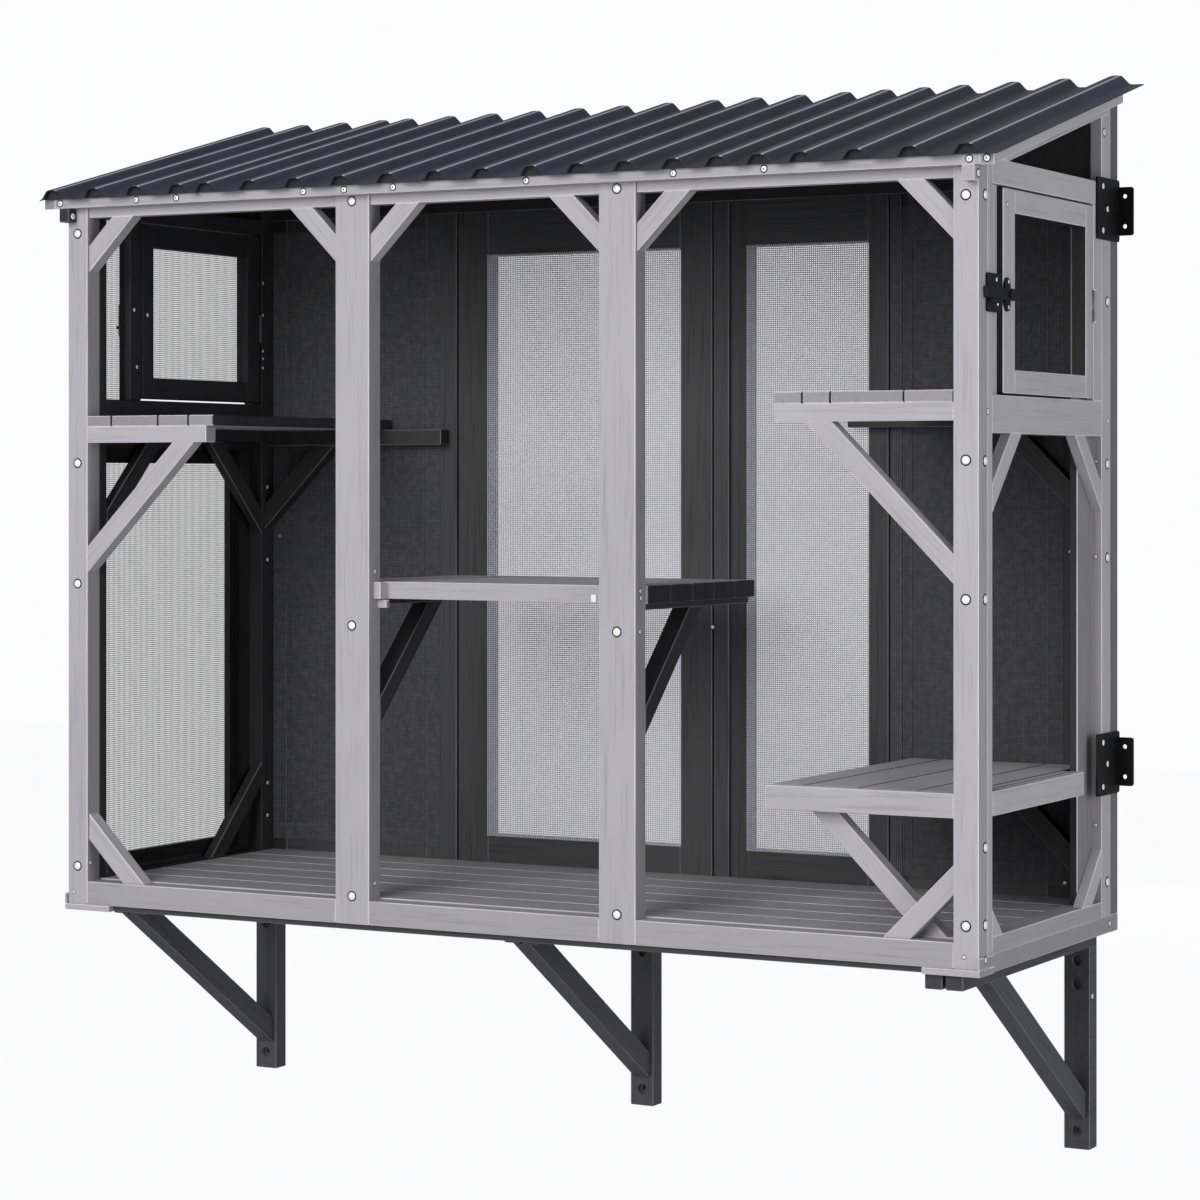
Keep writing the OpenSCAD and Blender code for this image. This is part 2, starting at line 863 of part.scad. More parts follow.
// which is 0 for the right door and 1 for the left one; both are drawn on the right
module door_stiles(which) {
    x1 = door_face[which];
    front = door_front_y[which];
    rear = hinge_y[which] - half_hinge_gap[which];
    timber_z(x1 - door_t, x1, front, front + door_front_stile[which], door_z0[which],
        door_z1[which]);
    timber_z(x1 - door_t, x1, rear - door_rear_stile[which], rear, door_z0[which],
        door_z1[which]);
}

module door_rails(which) {
    x1 = door_face[which];
    z0 = door_z0[which];
    z1 = door_z1[which];
    y0 = door_front_y[which] + door_front_stile[which];
    y1 = hinge_y[which] - half_hinge_gap[which] - door_rear_stile[which];
    timber_y(x1 - door_t, x1, y0, y1, z0, z0 + door_bottom_rail[which]);
    timber_y(x1 - door_t, x1, y0, y1, z1 - door_top_rail[which], z1);
}

module door_screen(which) {
    screen_yz(door_front_y[which] + door_front_stile[which],
        hinge_y[which] - half_hinge_gap[which] - door_rear_stile[which],
        door_z0[which] + door_bottom_rail[which], door_z1[which] - door_top_rail[which],
        door_face[which] - door_t / 2);
}

module right_door_stiles() {
    color(light)
        door_stiles(0);
}

module right_door_rails() {
    color(light)
        door_rails(0);
}

module right_door_screen() {
    color(black)
        door_screen(0);
}

module left_door_stiles() {
    color(light)
        on_side(1)
            door_stiles(1);
}

module left_door_rails() {
    color(light)
        on_side(1)
            door_rails(1);
}

module left_door_screen() {
    color(black)
        on_side(1)
            door_screen(1);
}

// ---- hinges ----

// knuckle on the hinge line with its web; side is 1 on the fixed leaf and -1 on the door
function leaf_y(which, side) =
    hinge_y[which] + (side > 0 ? leaf_gap[which] : -half_hinge_gap[which]);

module knuckle(which, z, side) {
    barrel_x = door_face[which] + barrel_lead;
    leaf_x = door_face[which] - leaf_back;
    difference() {
        union() {
            translate([barrel_x, hinge_y[which], z])
                cylinder(knuckle_h, r = knuckle_r, $fn = facets);
            translate([leaf_x - 1, leaf_y(which, side), z])
                cube([barrel_x - leaf_x + 1, leaf_t, knuckle_h]);
        }
        translate([barrel_x, hinge_y[which], z - 1])
            cylinder(knuckle_h + 2, r = pin_r + pin_clear, $fn = facets);
    }
}

module leaf(which, side) {
    translate([door_face[which] - leaf_back - leaf_w, leaf_y(which, side),
        latch_z - hinge_h / 2])
        cube([leaf_w, leaf_t, hinge_h]);
}

module hinge_fixed_leaves() {
    color(black)
        for (which = [0, 1])
            on_side(which) {
                leaf(which, 1);
                for (z = [latch_z - hinge_h / 2, latch_z + hinge_h / 2 - knuckle_h])
                    knuckle(which, z, 1);
            }
}

module moving_leaf(which) {
    leaf(which, -1);
    knuckle(which, latch_z - knuckle_h / 2, -1);
}

module hinge_pins() {
    head_h = 1.2;
    head_r = knuckle_r - 0.4;
    color(silver)
        for (which = [0, 1])
            on_side(which)
                translate([door_face[which] + barrel_lead, hinge_y[which],
                    latch_z - hinge_h / 2 - head_h]) {
                    cylinder(hinge_h + 2 * head_h, r = pin_r, $fn = facets);
                    cylinder(head_h, r = head_r, $fn = facets);
                    translate([0, 0, hinge_h + head_h])
                        cylinder(head_h, r = head_r, $fn = facets);
                }
}

module right_hinge_leaf() {
    color(black)
        moving_leaf(0);
}

module left_hinge_leaf() {
    color(black)
        on_side(1)
            moving_leaf(1);
}

// ---- latches ----

function pivot_y(which) = door_front_y[which] + min(10, door_front_stile[which] / 2);

module keeper(which) {
    x0 = door_face[which];
    y0 = pivot_y(which) - keeper_offset[which] - keeper_w[which];
    side_plate(x0, latch_plate_t, y0, latch_z - keeper_h / 2, keeper_w[which], keeper_h,
        plate_corner_r - 1);
    translate([x0 + latch_plate_t - tiny, y0 + (keeper_w[which] - ledge_l[which]) / 3,
        latch_z - bar_h / 2 - latch_clear - ledge_h])
        cube([bar_t + ledge_lead + tiny, ledge_l[which], ledge_h]);
}

module latch_keepers() {
    color(black) {
        keeper(0);
        on_side(1)
            keeper(1);
    }
}

module latch_plate(which) {
    shank = bar_lead + bar_t + rivet_play - rivet_sink;
    side_plate(door_face[which], latch_plate_t, pivot_y(which) - latch_plate_w / 2,
        latch_z - latch_plate_h / 2, latch_plate_w, latch_plate_h, latch_plate_w / 2 - 0.1);
    translate([door_face[which] + rivet_sink, pivot_y(which), latch_z])
        rotate([0, 90, 0]) {
            cylinder(shank, r = rivet_r, $fn = facets);
            translate([0, 0, shank - tiny])
                cylinder(rivet_head_t, r = rivet_head_r, $fn = facets);
        }
}

module latch_bar(which) {
    bar_x = door_face[which] + bar_lead;
    difference() {
        side_plate(bar_x, bar_t, pivot_y(which) - bar_l[which] + bar_tail,
            latch_z - bar_h / 2, bar_l[which], bar_h, bar_corner_r);
        translate([bar_x - 1, pivot_y(which), latch_z])
            rotate([0, 90, 0])
                cylinder(bar_t + 2, r = rivet_r + pivot_clear, $fn = facets);
    }
}

module right_latch_plate() {
    color(black)
        latch_plate(0);
}

module left_latch_plate() {
    color(black)
        on_side(1)
            latch_plate(1);
}

module right_latch_bar() {
    color(black)
        latch_bar(0);
}

module left_latch_bar() {
    color(black)
        on_side(1)
            latch_bar(1);
}

// ---- wall fixings ----

// bent steel plate: one leaf on the side frame, one against the wall with two holes
module corner_bracket(z, leaf_l) {
    side_plate(half_w, steel_t, -leaf_l, z - side_leaf_h / 2, leaf_l, side_leaf_h,
        plate_corner_r);
    difference() {
        translate([half_w, 0, z - wall_leaf_h / 2])
            rotate([90, 0, 0])
                linear_extrude(steel_t)
                    rounded(wall_leaf_l, wall_leaf_h, plate_corner_r - 1);
        for (dz = [-steel_hole_pitch / 2, steel_hole_pitch / 2])
            translate([wall_hole_x, 1, z + dz])
                rotate([90, 0, 0])
                    cylinder(steel_t + 2, r = steel_hole_r, $fn = facets);
    }
}

module steel_corner_brackets() {
    color(black)
        for (which = [0, 1], z = steel_z)
            on_side(which)
                corner_bracket(z, side_leaf_l[which]);
}

// counterbored hole for a wall bolt
module wall_bolt_hole(x, z) {
    translate([x, 1, z])
        rotate([90, 0, 0])
            cylinder(board_t + 2, r = wall_hole_r, $fn = facets);
    translate([x, -board_t + wall_bore_d, z])
        rotate([90, 0, 0])
            cylinder(wall_bore_d + 1, r = wall_bore_r, $fn = facets);
}

module bracket_wall_boards() {
    color(dark)
        for (i = [0 : 2])
            difference() {
                timber_z(bracket_x[i] - board_w / 2, bracket_x[i] + board_w / 2, -board_t, 0,
                    -board_drop, base_z);
                wall_bolt_hole(bracket_x[i], hole_upper);
                wall_bolt_hole(bracket_x[i], hole_lower);
                if (i == 2)
                    wall_bolt_hole(bracket_x[i], hole_extra);
            }
}

module bracket_arms() {
    color(dark)
        for (i = [0 : 2], dx = [-arm_gap / 2 - arm_w, arm_gap / 2])
            timber_y(bracket_x[i] + dx, bracket_x[i] + dx + arm_w, arm_front[i], -board_t,
                arm_bottom, arm_top);
}

module bracket_struts() {
    drop = strut_foot + arm_bottom;
    run = strut_reach - board_t;
    angle = atan(drop / run);
    top_run = strut_d / sin(angle);
    foot_rise = strut_d / cos(angle);
    color(dark)
        for (x = bracket_x)
            yz_plate([[-strut_reach, arm_bottom], [-board_t, -strut_foot],
                [-board_t, -strut_foot + foot_rise], [-strut_reach + top_run, arm_bottom]],
                x - strut_w / 2, strut_w);
}

// ---- back wall ----

module back_stiles() {
    color(dark) {
        timber_z(-half_w, windows[0][0], -back_t, 0, side_base_z, cabin_h);
        timber_z(windows[3][1], half_w, -back_t, 0, side_base_z, cabin_h);
        for (s = mid_stiles)
            timber_z(s[0], s[1], -back_t + s[2], 0, side_base_z, cabin_h);
    }
}

module back_rails() {
    color(dark)
        for (w = windows) {
            timber_x(w[0], w[1], -back_t, 0, side_base_z, window_sill);
            timber_x(w[0], w[1], -back_t, 0, window_head, cabin_h);
        }
}

module back_screens() {
    color(black)
        for (w = windows)
            screen_xz(w[0] - screen_lap, w[1] + screen_lap, window_sill - screen_lap,
                window_head + 2 * screen_lap, -back_t - screen_t);
}

module back_boards() {
    color(dark)
        for (i = closed_windows)
            timber_z(windows[i][0], windows[i][1], -back_t / 2, -back_t / 2 + back_board_t,
                window_sill, window_head);
    color(dark)
        both_sides()
            yz_plate([[gable_heel, cabin_h], [side_rear, cabin_h],
                [side_rear, roof_z(side_rear) - rafter_h]],
                gable_x - back_board_t, back_board_t);
}

// ---- shelves ----

module shelf_planks() {
    depth = shelf_mid_d / mid_planks_n;
    wall_y = -back_t - screen_t;
    color(light) {
        planks_y(-inner_x, ul_edge, ul_joints, shelf_front, wall_y, shelf_ul_z);
        planks_y(ur_edge, inner_x, ur_joints, shelf_front, wall_y, shelf_ur_z);
        planks_y(lr_edge, inner_x, lr_joints, shelf_front + shelf_edge_t, wall_y, shelf_lr_z);
        timber_y(inner_x + plank_gap, half_w - shelf_edge_t, lr_lip_front, lr_lip_rear,
            shelf_lr_z - shelf_t, shelf_lr_z);
        for (i = [0 : mid_planks_n - 1])
            timber_x(shelf_mid_left, shelf_mid_right,
                post_back + i * depth + (i == 0 ? 0 : plank_gap), post_back + (i + 1) * depth,
                shelf_mid_z - shelf_mid_t, shelf_mid_z);
    }
}

module shelf_edge_boards() {
    mid_under = shelf_mid_z - shelf_mid_t;
    color(light) {
        timber_x(lr_edge, inner_x, shelf_front, shelf_front + shelf_edge_t,
            shelf_lr_z - shelf_edge_h, shelf_lr_z);
        timber_y(half_w - shelf_edge_t, half_w, lr_lip_front, lr_lip_rear,
            shelf_lr_z - shelf_edge_h, shelf_lr_z);
        // two small stop blocks on the left middle post, in front of the middle shelf
        timber_z(bays[1][0], bays[1][0] + stop_w, post_back - stop_d, post_back, mid_under,
            shelf_mid_z);
        timber_z(bays[1][0], bays[1][0] + low_stop_w, post_back - low_stop_d, post_back,
            mid_under - low_stop_h, mid_under - plank_gap);
    }
}

// rail pair under a corner shelf: one at the front, one along the back wall
module corner_shelf_rails(x0, x1, wall_x0, wall_x1, z1) {
    color(light)
        timber_x(x0, x1, shelf_front, shelf_front + shelf_rail_t, z1 - shelf_rail_h, z1);
    color(dark)
        timber_x(wall_x0, wall_x1, ledger_y, ledger_y + ledger_t, z1 - shelf_rail_h, z1);
}

module shelf_rails() {
    front_stop = 13;
    mid_rail_z = shelf_mid_z - shelf_mid_t;
    corner_shelf_rails(-inner_x, ul_edge - front_stop, -inner_x, ul_edge + ledger_over,
        shelf_ul_z - shelf_t);
    corner_shelf_rails(ur_edge, inner_x, ur_edge - ledger_over, inner_x,
        shelf_ur_z - shelf_t);
    color(dark) {
        timber_x(lr_edge, inner_x, ledger_y, ledger_y + ledger_t,
            shelf_lr_z - shelf_edge_h, shelf_lr_z - shelf_t);
        timber_y(inner_x - lip_cleat_w, half_w - shelf_edge_t, lr_lip_front, lr_lip_rear,
            shelf_lr_z - shelf_edge_h, shelf_lr_z - shelf_t);
        for (x = [mullion_left_x, mullion_right_x])
            timber_y(x + mullion_w / 2 - brace_w, x + mullion_w / 2, post_back,
                post_back + shelf_mid_d - mid_cleat_stop, mid_rail_z - mid_cleat_h,
                mid_rail_z);
    }
}

module shelf_braces() {
    ul_z = shelf_ul_z - shelf_t - shelf_rail_h;
    ur_z = shelf_ur_z - shelf_t - shelf_rail_h;
    mid_z = shelf_mid_z - shelf_mid_t - mid_cleat_h;
    foot_near = 23;
    lr_top = shelf_lr_z - shelf_t;
    color(light) {
        brace_xz(-inner_x, ul_z, 1, -1, shelf_brace_ul, shelf_front + brace_set, brace_t);
        brace_xz(inner_x, ur_z, -1, -1, shelf_brace_ur, shelf_front + brace_set, brace_t);
        xz_plate([[inner_x - foot_near, 0], [inner_x - foot_near - brace_leg, 0],
            [inner_x - foot_near - brace_leg - lr_top, lr_top],
            [inner_x - foot_near - lr_top, lr_top]], post_back + brace_set, brace_t);
    }
    color(dark) {
        brace_xz(-inner_x, ul_z, 1, -1, shelf_brace_wall, ledger_y, ledger_t);
        brace_xz(inner_x, ur_z, -1, -1, shelf_brace_wall, ledger_y, ledger_t);
        brace_xz(inner_x, shelf_lr_z - shelf_edge_h, -1, -1, shelf_brace_wall, ledger_y,
            ledger_t);
        for (x = [mullion_left_x, mullion_right_x])
            brace_yz(post_back, mid_z, 1, -1, shelf_brace_mid, x + mullion_w / 2 - brace_w,
                brace_w);
    }
}

// ---- bolts ----

module bolt_front(x, z) {
    translate([x, front_y, z])
        rotate([90, 0, 0])
            cylinder(bolt_h, r = bolt_r, $fn = facets);
}

module bolt_side(y, z) {
    translate([half_w, y, z])
        rotate([0, 90, 0])
            cylinder(bolt_h, r = bolt_r, $fn = facets);
}

module frame_bolts() {
    color(silver) {
        both_sides() {
            for (z = corner_bolt_z)
                bolt_front(half_w - corner_w / 2, z);
            for (z = side_bolt_z)
                bolt_side(post_back - bolt_r - bolt_edge, z);
            for (z = stile_bolt_z)
                bolt_side(side_rear + rear_stile_w * stile_bolt_share, z);
        }
        for (x = [mullion_left_x, mullion_right_x], z = mullion_bolt_z)
            bolt_front(x, z);
    }
}

roof_sheet();
front_fascia();
rake_fascias();
side_rafters();
middle_rafters();
back_header();
corner_posts();
mullions();
front_top_rails();
front_bottom_rails();
top_knee_braces();
bottom_knee_braces();
rafter_tails();
base_front_strip();
base_rails();
base_corner_blocks();
floor_joists();
floor_planks();
side_front_stiles();
side_rear_stiles();
side_inner_stiles();
side_bottom_rails();
side_mid_rails();
side_top_rails();
side_braces();
side_foot_braces();
hinge_stiles();
latch_stiles();
left_screen_rails();
left_side_screen();
gable_screens();
left_slot_screen();
right_door_stiles();
right_door_rails();
right_door_screen();
left_door_stiles();
left_door_rails();
left_door_screen();
hinge_fixed_leaves();
hinge_pins();
right_hinge_leaf();
left_hinge_leaf();
latch_keepers();
right_latch_plate();
left_latch_plate();
right_latch_bar();
left_latch_bar();
steel_corner_brackets();
bracket_wall_boards();
bracket_arms();
bracket_struts();
back_stiles();
back_rails();
back_screens();
back_boards();
shelf_planks();
shelf_edge_boards();
shelf_rails();
shelf_braces();
frame_bolts();
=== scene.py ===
"""Looks of a wall-hung timber cat cabin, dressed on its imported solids.

The solids are the fixed frame. Timber nodes are replaced by boards cut from the same
solids, with eased edges and a grain that runs along each board. Screens, bolt heads,
screws, washers and the foam plugs under the roof are made by Geometry Nodes. Everything
is in metres, unless a comment says millimetres.
"""
import enum
import itertools
import json
import logging
import math
import random
from dataclasses import dataclass, field

import bmesh
import bpy
from mathutils import Matrix, Vector

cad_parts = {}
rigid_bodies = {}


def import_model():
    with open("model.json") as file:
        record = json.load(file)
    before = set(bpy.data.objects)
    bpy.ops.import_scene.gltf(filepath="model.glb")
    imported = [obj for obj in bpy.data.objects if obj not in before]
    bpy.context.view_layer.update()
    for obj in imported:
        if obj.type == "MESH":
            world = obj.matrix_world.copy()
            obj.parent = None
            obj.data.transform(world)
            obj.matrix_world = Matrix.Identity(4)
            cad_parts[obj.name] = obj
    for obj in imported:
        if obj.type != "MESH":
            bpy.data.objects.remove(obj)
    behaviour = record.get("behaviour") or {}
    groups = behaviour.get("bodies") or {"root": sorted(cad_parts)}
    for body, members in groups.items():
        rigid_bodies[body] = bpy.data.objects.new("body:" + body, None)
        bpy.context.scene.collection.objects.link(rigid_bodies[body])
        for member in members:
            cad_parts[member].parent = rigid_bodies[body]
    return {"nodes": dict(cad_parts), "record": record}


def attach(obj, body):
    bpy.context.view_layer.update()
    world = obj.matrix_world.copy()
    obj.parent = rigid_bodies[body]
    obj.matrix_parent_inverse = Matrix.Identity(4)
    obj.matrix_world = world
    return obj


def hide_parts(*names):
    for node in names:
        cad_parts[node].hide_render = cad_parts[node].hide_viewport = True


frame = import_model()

LOG = logging.getLogger("cabin")
Form = bmesh.types.BMesh
Mesh, Object, Material = bpy.types.Mesh, bpy.types.Object, bpy.types.Material
Node, Tree, Socket = bpy.types.Node, bpy.types.NodeTree, bpy.types.NodeSocket
Term = Socket | float
MM = 0.001
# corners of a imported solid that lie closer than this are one
MERGE = 1e-6
# two edges run the same way where their directions' product is past this
PARALLEL = 0.995
# the principled shader's input for how much it reflects
GLEAM = "Specular IOR Level"
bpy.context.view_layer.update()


def linear(code: str) -> tuple[float, float, float, float]:
    """Turn an sRGB hex colour into linear light.

    Args:
        code: Six hex digits, with or without a leading #.

    Returns:
        Red, green, blue and an alpha of 1, each linear.
    """
    code = code.lstrip("#")
    parts = [int(code[i : i + 2], 16) / 255 for i in (0, 2, 4)]
    lin = [c / 12.92 if c <= 0.04045 else ((c + 0.055) / 1.055) ** 2.4 for c in parts]
    return (lin[0], lin[1], lin[2], 1.0)


# ---------------- nodes


def add_node(tree: Tree, kind: str, inputs: dict | None = None, **settings) -> Node:
    """Add one node with its settings and its inputs.

    Args:
        tree: The node tree that takes the node.
        kind: The node's type name.
        inputs: A value or an output socket for each input, by the input's name or number.
        **settings: The node's own properties.

    Returns:
        The new node.
    """
    node = tree.nodes.new(kind)
    for name, value in settings.items():
        setattr(node, name, value)
    for key, value in (inputs or {}).items():
        if isinstance(value, bpy.types.NodeSocket):
            tree.links.new(value, node.inputs[key])
        else:
            node.inputs[key].default_value = value
    return node


def calc(
    tree: Tree, kind: str, first: Term, second: Term = 0.0, third: Term = 0.0, clamp: bool = False
) -> Socket:
    """Add one sum of sockets or numbers and return its output."""
    terms = {0: first, 1: second, 2: third}
    return add_node(tree, "ShaderNodeMath", terms, operation=kind, use_clamp=clamp).outputs[0]


def ramp(tree: Tree, source: Socket, stops: tuple[float, float], colours: tuple) -> Socket:
    """Add a colour ramp.

    Args:
        tree: The material's node tree.
        source: The output socket that drives the ramp.
        stops: The places of its two stops, in rising order.
        colours: Their linear colours.

    Returns:
        The ramp's colour socket.
    """
    node = add_node(tree, "ShaderNodeValToRGB", {"Fac": source})
    for element, place, colour in zip(node.color_ramp.elements, stops, colours):
        element.position = place
        element.color = colour
    return node.outputs["Color"]


def noise(
    tree: Tree, place: Socket, scale: float, detail: float, rough: float = 0.5, warp: float = 0.0
) -> Socket:
    """Add a noise texture on a socket of coordinates and return its strength."""
    values = {"Vector": place, "Scale": scale, "Detail": detail, "Roughness": rough, "Distortion": warp}
    return add_node(tree, "ShaderNodeTexNoise", values).outputs["Fac"]


def read(tree: Tree, name: str, output: str = "Fac") -> Socket:
    """Return an output of a mesh attribute that the piece's builder wrote."""
    return add_node(tree, "ShaderNodeAttribute", attribute_name=name).outputs[output]


def blend(tree: Tree, share: Socket, first: Socket | tuple, second: Socket | tuple) -> Socket:
    """Mix two colours, each a socket or linear, and return the result."""
    return add_node(tree, "ShaderNodeMix", {0: share, 6: first, 7: second}, data_type="RGBA").outputs[2]


def roughen(tree: Tree, shader: Node, gloss: Socket, rough: tuple, height: Socket, bumps: tuple) -> None:
    """Vary a shader's roughness and give it fine bumps.

    Args:
        tree: The material's node tree.
        shader: Its principled shader.
        gloss: The socket that drives the roughness.
        rough: The roughness, and how far it goes down and up from there.
        height: The socket with the bumps' height.
        bumps: Their strength, and their depth in metres.
    """
    middle, (down, up) = rough
    ends = {"Value": gloss, "To Min": middle + down, "To Max": middle + up}
    gloss_or_highlight = add_node(tree, "ShaderNodeMapRange", ends)
    tree.links.new(gloss_or_highlight.outputs["Result"], shader.inputs["Roughness"])
    bump = add_node(tree, "ShaderNodeBump", {"Height": height, "Strength": bumps[0], "Distance": bumps[1]})
    tree.links.new(bump.outputs["Normal"], shader.inputs["Normal"])


def blank_tree(owner: Material | bpy.types.World) -> Tree:
    """Give a material or a world an empty node tree and return the tree."""
    owner.use_nodes = True
    owner.node_tree.nodes.clear()
    return owner.node_tree


def new_material(name: str) -> tuple[Material, Tree, Node]:
    """Start a material with an output and a principled shader.

    Args:
        name: The finish's name.

    Returns:
        The material, its tree and its principled shader.
    """
    material = bpy.data.materials.new(name)
    tree = blank_tree(material)
    shader = add_node(tree, "ShaderNodeBsdfPrincipled")
    add_node(tree, "ShaderNodeOutputMaterial", {"Surface": shader.outputs["BSDF"]})
    return material, tree, shader


# ---------------- finishes


@dataclass(frozen=True)
class StainedTimber:
    """Planed softwood under a thin water stain, brushed on along the grain.

    The stain lies in the early wood and leaves the late wood a shade darker, so the eye
    sees fine straight streaks with little contrast. Eased edges are painted paler as a
    highlight, broken up by the grain, and faces turned into the cabin take a darker colour as
    painted shade. Each noise is given by its scale, detail, roughness and distortion.
    """

    name: str
    face: str
    streak: str
    # painted highlight colour for the eased edges
    eased: str
    # painted shade colour for faces turned into the cabin
    inside: str
    rough: float = 0.62
    spread: tuple[float, float] = (-0.08, 0.1)
    gleam: float = 0.35
    outer_stops: tuple[float, float] = (0.48, 0.72)
    inner_stops: tuple[float, float] = (0.45, 0.8)
    ring: float = 2.2 * MM
    ring_run: float = 0.045
    ring_noise: tuple[float, ...] = (0.35, 3.0, 0.6, 0.25)
    fibre: float = 0.9 * MM
    fibre_run: float = 0.012
    fibre_noise: tuple[float, ...] = (0.5, 2.0, 0.7)
    fibre_share: float = 0.5
    cloud_noise: tuple[float, ...] = (7.0, 2.0)
    cloud_share: float = 0.16
    # how dark the streaks of the painted shade go
    inside_low: float = 0.6
    # how strongly the grain rings break up the painted edge highlight
    wear: float = 1.25
    bumps: tuple[float, float] = (0.25, 0.4 * MM)

    def make(self) -> Material:
        """Build the material.

        Returns:
            The Blender material.
        """
        material, tree, shader = new_material(self.name)
        grain = read(tree, "grain", "Vector")
        ring = noise(tree, self.stretch(tree, grain, self.ring_run, self.ring), *self.ring_noise)
        fibre = noise(tree, self.stretch(tree, grain, self.fibre_run, self.fibre), *self.fibre_noise)
        streaks = calc(tree, "MULTIPLY_ADD", fibre, self.fibre_share, ring)
        outer = ramp(tree, streaks, self.outer_stops, (linear(self.streak), linear(self.face)))
        # faces turned into the cabin get a darker colour as painted shade
        low = (*(c * self.inside_low for c in linear(self.inside)[:3]), 1.0)
        inner = ramp(tree, streaks, self.inner_stops, (low, linear(self.inside)))
        sided = blend(tree, read(tree, "inside"), outer, inner)
        cloud = noise(tree, grain, *self.cloud_noise)
        # the board's random tone with its painted light and shade, varied by a cloud
        shade = calc(tree, "MULTIPLY_ADD", cloud, self.cloud_share, read(tree, "tone_and_painted_light"))
        toned = add_node(tree, "ShaderNodeHueSaturation", {"Value": shade, "Color": sided}).outputs["Color"]
        # painted highlight on the eased edges, broken up by the grain rings
        rubbed = calc(tree, "MULTIPLY", ring, self.wear)
        highlight_share = calc(tree, "MULTIPLY", read(tree, "eased"), rubbed, clamp=True)
        gloss_or_highlight = blend(tree, highlight_share, toned, linear(self.eased))
        tree.links.new(gloss_or_highlight, shader.inputs["Base Color"])
        roughen(tree, shader, fibre, (self.rough, self.spread), streaks, self.bumps)
        shader.inputs[GLEAM].default_value = self.gleam
        return material

    @staticmethod
    def stretch(tree: Tree, grain: Socket, run: float, size: float) -> Socket:
        """Draw the grain out along the board, in units of the size across it."""
        scale = (run / size, 1 / size, 1 / size)
        return add_node(tree, "ShaderNodeMapping", {"Vector": grain, "Scale": scale}).outputs["Vector"]


@dataclass(frozen=True)
class Coat:
    """A thin coat with paler patches, and with a fine peel where it is hard.

    Each noise is given by its scale, detail and roughness, the ramp by its two places.
    """

    name: str
    face: str
    pale: str
    rough: float
    gleam: float = 0.5
    metallic: float = 0.0
    patch_noise: tuple[float, ...] = (60.0, 4.0)
    stops: tuple[float, float] = (0.45, 0.8)
    peel_noise: tuple[float, ...] = (1400.0, 1.0)
    peel_bumps: tuple[float, float] = (0.15, 0.1 * MM)
    spread: tuple[float, float] = (-0.06, 0.08)
    # colour of a painted highlight along the folds, if any
    fold_highlight: str = ""

    def make(self) -> Material:
        """Build the material.

        Returns:
            The Blender material.
        """
        material, tree, shader = new_material(self.name)
        place = add_node(tree, "ShaderNodeTexCoord").outputs["Object"]
        patch = noise(tree, place, *self.patch_noise)
        colour = ramp(tree, patch, self.stops, (linear(self.face), linear(self.pale)))
        # painted highlight along the folds
        if self.fold_highlight:
            colour = blend(tree, read(tree, "fold_highlight"), colour, linear(self.fold_highlight))
        tree.links.new(colour, shader.inputs["Base Color"])
        for name, value in (("Roughness", self.rough), ("Metallic", self.metallic), (GLEAM, self.gleam)):
            shader.inputs[name].default_value = value
        if self.peel_noise:
            peel = noise(tree, place, *self.peel_noise)
            roughen(tree, shader, patch, (self.rough, self.spread), peel, self.peel_bumps)
        return material


@dataclass(frozen=True)
class CoatedSteel(Coat):
    """Mild steel, powder coated or zinc plated: fine orange peel and slightly rubbed patches."""


@dataclass(frozen=True)
class ScreenYarn(Coat):
    """Coated screen yarn, foam or rubber: matte and without peel, with a slightly paler crown."""

    rough: float = 0.8
    gleam: float = 0.2
    patch_noise: tuple[float, ...] = (90.0, 3.0, 0.7)
    stops: tuple[float, float] = (0.4, 0.72)
    peel_noise: tuple[float, ...] = ()


@dataclass(frozen=True)
class CoatedSheet(Coat):
    """Corrugated roof panel with a stoved satin coating, dark navy.

    The coating is smooth, with a faint orange peel. A painted highlight runs along one fold
    of each rib, so long thin light lines run up the slope.
    """

    rough: float = 0.42
    gleam: float = 0.3
    patch_noise: tuple[float, ...] = (9.0, 5.0, 0.6)
    stops: tuple[float, float] = (0.42, 0.78)
    peel_noise: tuple[float, ...] = (420.0, 2.0)
    peel_bumps: tuple[float, float] = (0.08, 0.3 * MM)
    spread: tuple[float, float] = (-0.05, 0.1)
    # painted highlight colour along one fold of each rib
    fold_highlight: str = "b4b9c7"


class Finish(enum.Enum):
    """The finishes of the cabin, by the part of it that wears them."""

    # posts, rails, planks and braces that face outwards
    GREY = StainedTimber("grey_water_stained_pine", "a9a7ac", "98969b", "dddbdf", "2c2c2e")
    # wall side of the cabin, brackets and inner braces
    CHARCOAL = StainedTimber("charcoal_stained_pine", "3a3a3b", "242425", "77777a", "262628")
    # corrugated roof
    ROOF = CoatedSheet("navy_stoved_roof_sheet", "232736", "2f3446")
    # latches and corner brackets
    STEEL = CoatedSteel("black_powder_coated_steel", "060607", "101012", 0.5, 0.22)
    # hinge leaves
    PEWTER = CoatedSteel("grey_coated_hinge_steel", "8e8e92", "a6a6aa", 0.42)
    # bolts, screws, hinge pins and the shelf's tab
    ZINC = CoatedSteel("bright_zinc_plated_steel", "f0f0f2", "f8f8f9", 0.3, 0.5, 0.12)
    # back screens in front of boards
    YARN = ScreenYarn("grey_coated_screen_yarn", "565658", "707072")
    # back screens that light falls through; their pale yarn colour is painted backlight
    BACKLIT_YARN = ScreenYarn("pale_yarn_painted_backlight", "bab9c2", "c8c7cf")
    # side, door and gable screens
    NIGHT = ScreenYarn("black_coated_screen_yarn", "0c0c0d", "1c1c1e")
    # plugs in the roof's ribs
    FOAM = ScreenYarn("black_closed_cell_foam", "2b2e2f", "343738", 0.9)
    # washers, which also paint the shade round each head
    DARK_RING = ScreenYarn("black_washer_and_painted_shade", "0d0d0e", "161617", 0.7)

    def material(self) -> Material:
        """Return this finish's material, built once."""
        found = bpy.data.materials.get(self.value.name)
        return found or self.value.make()


# ---------------- meshes


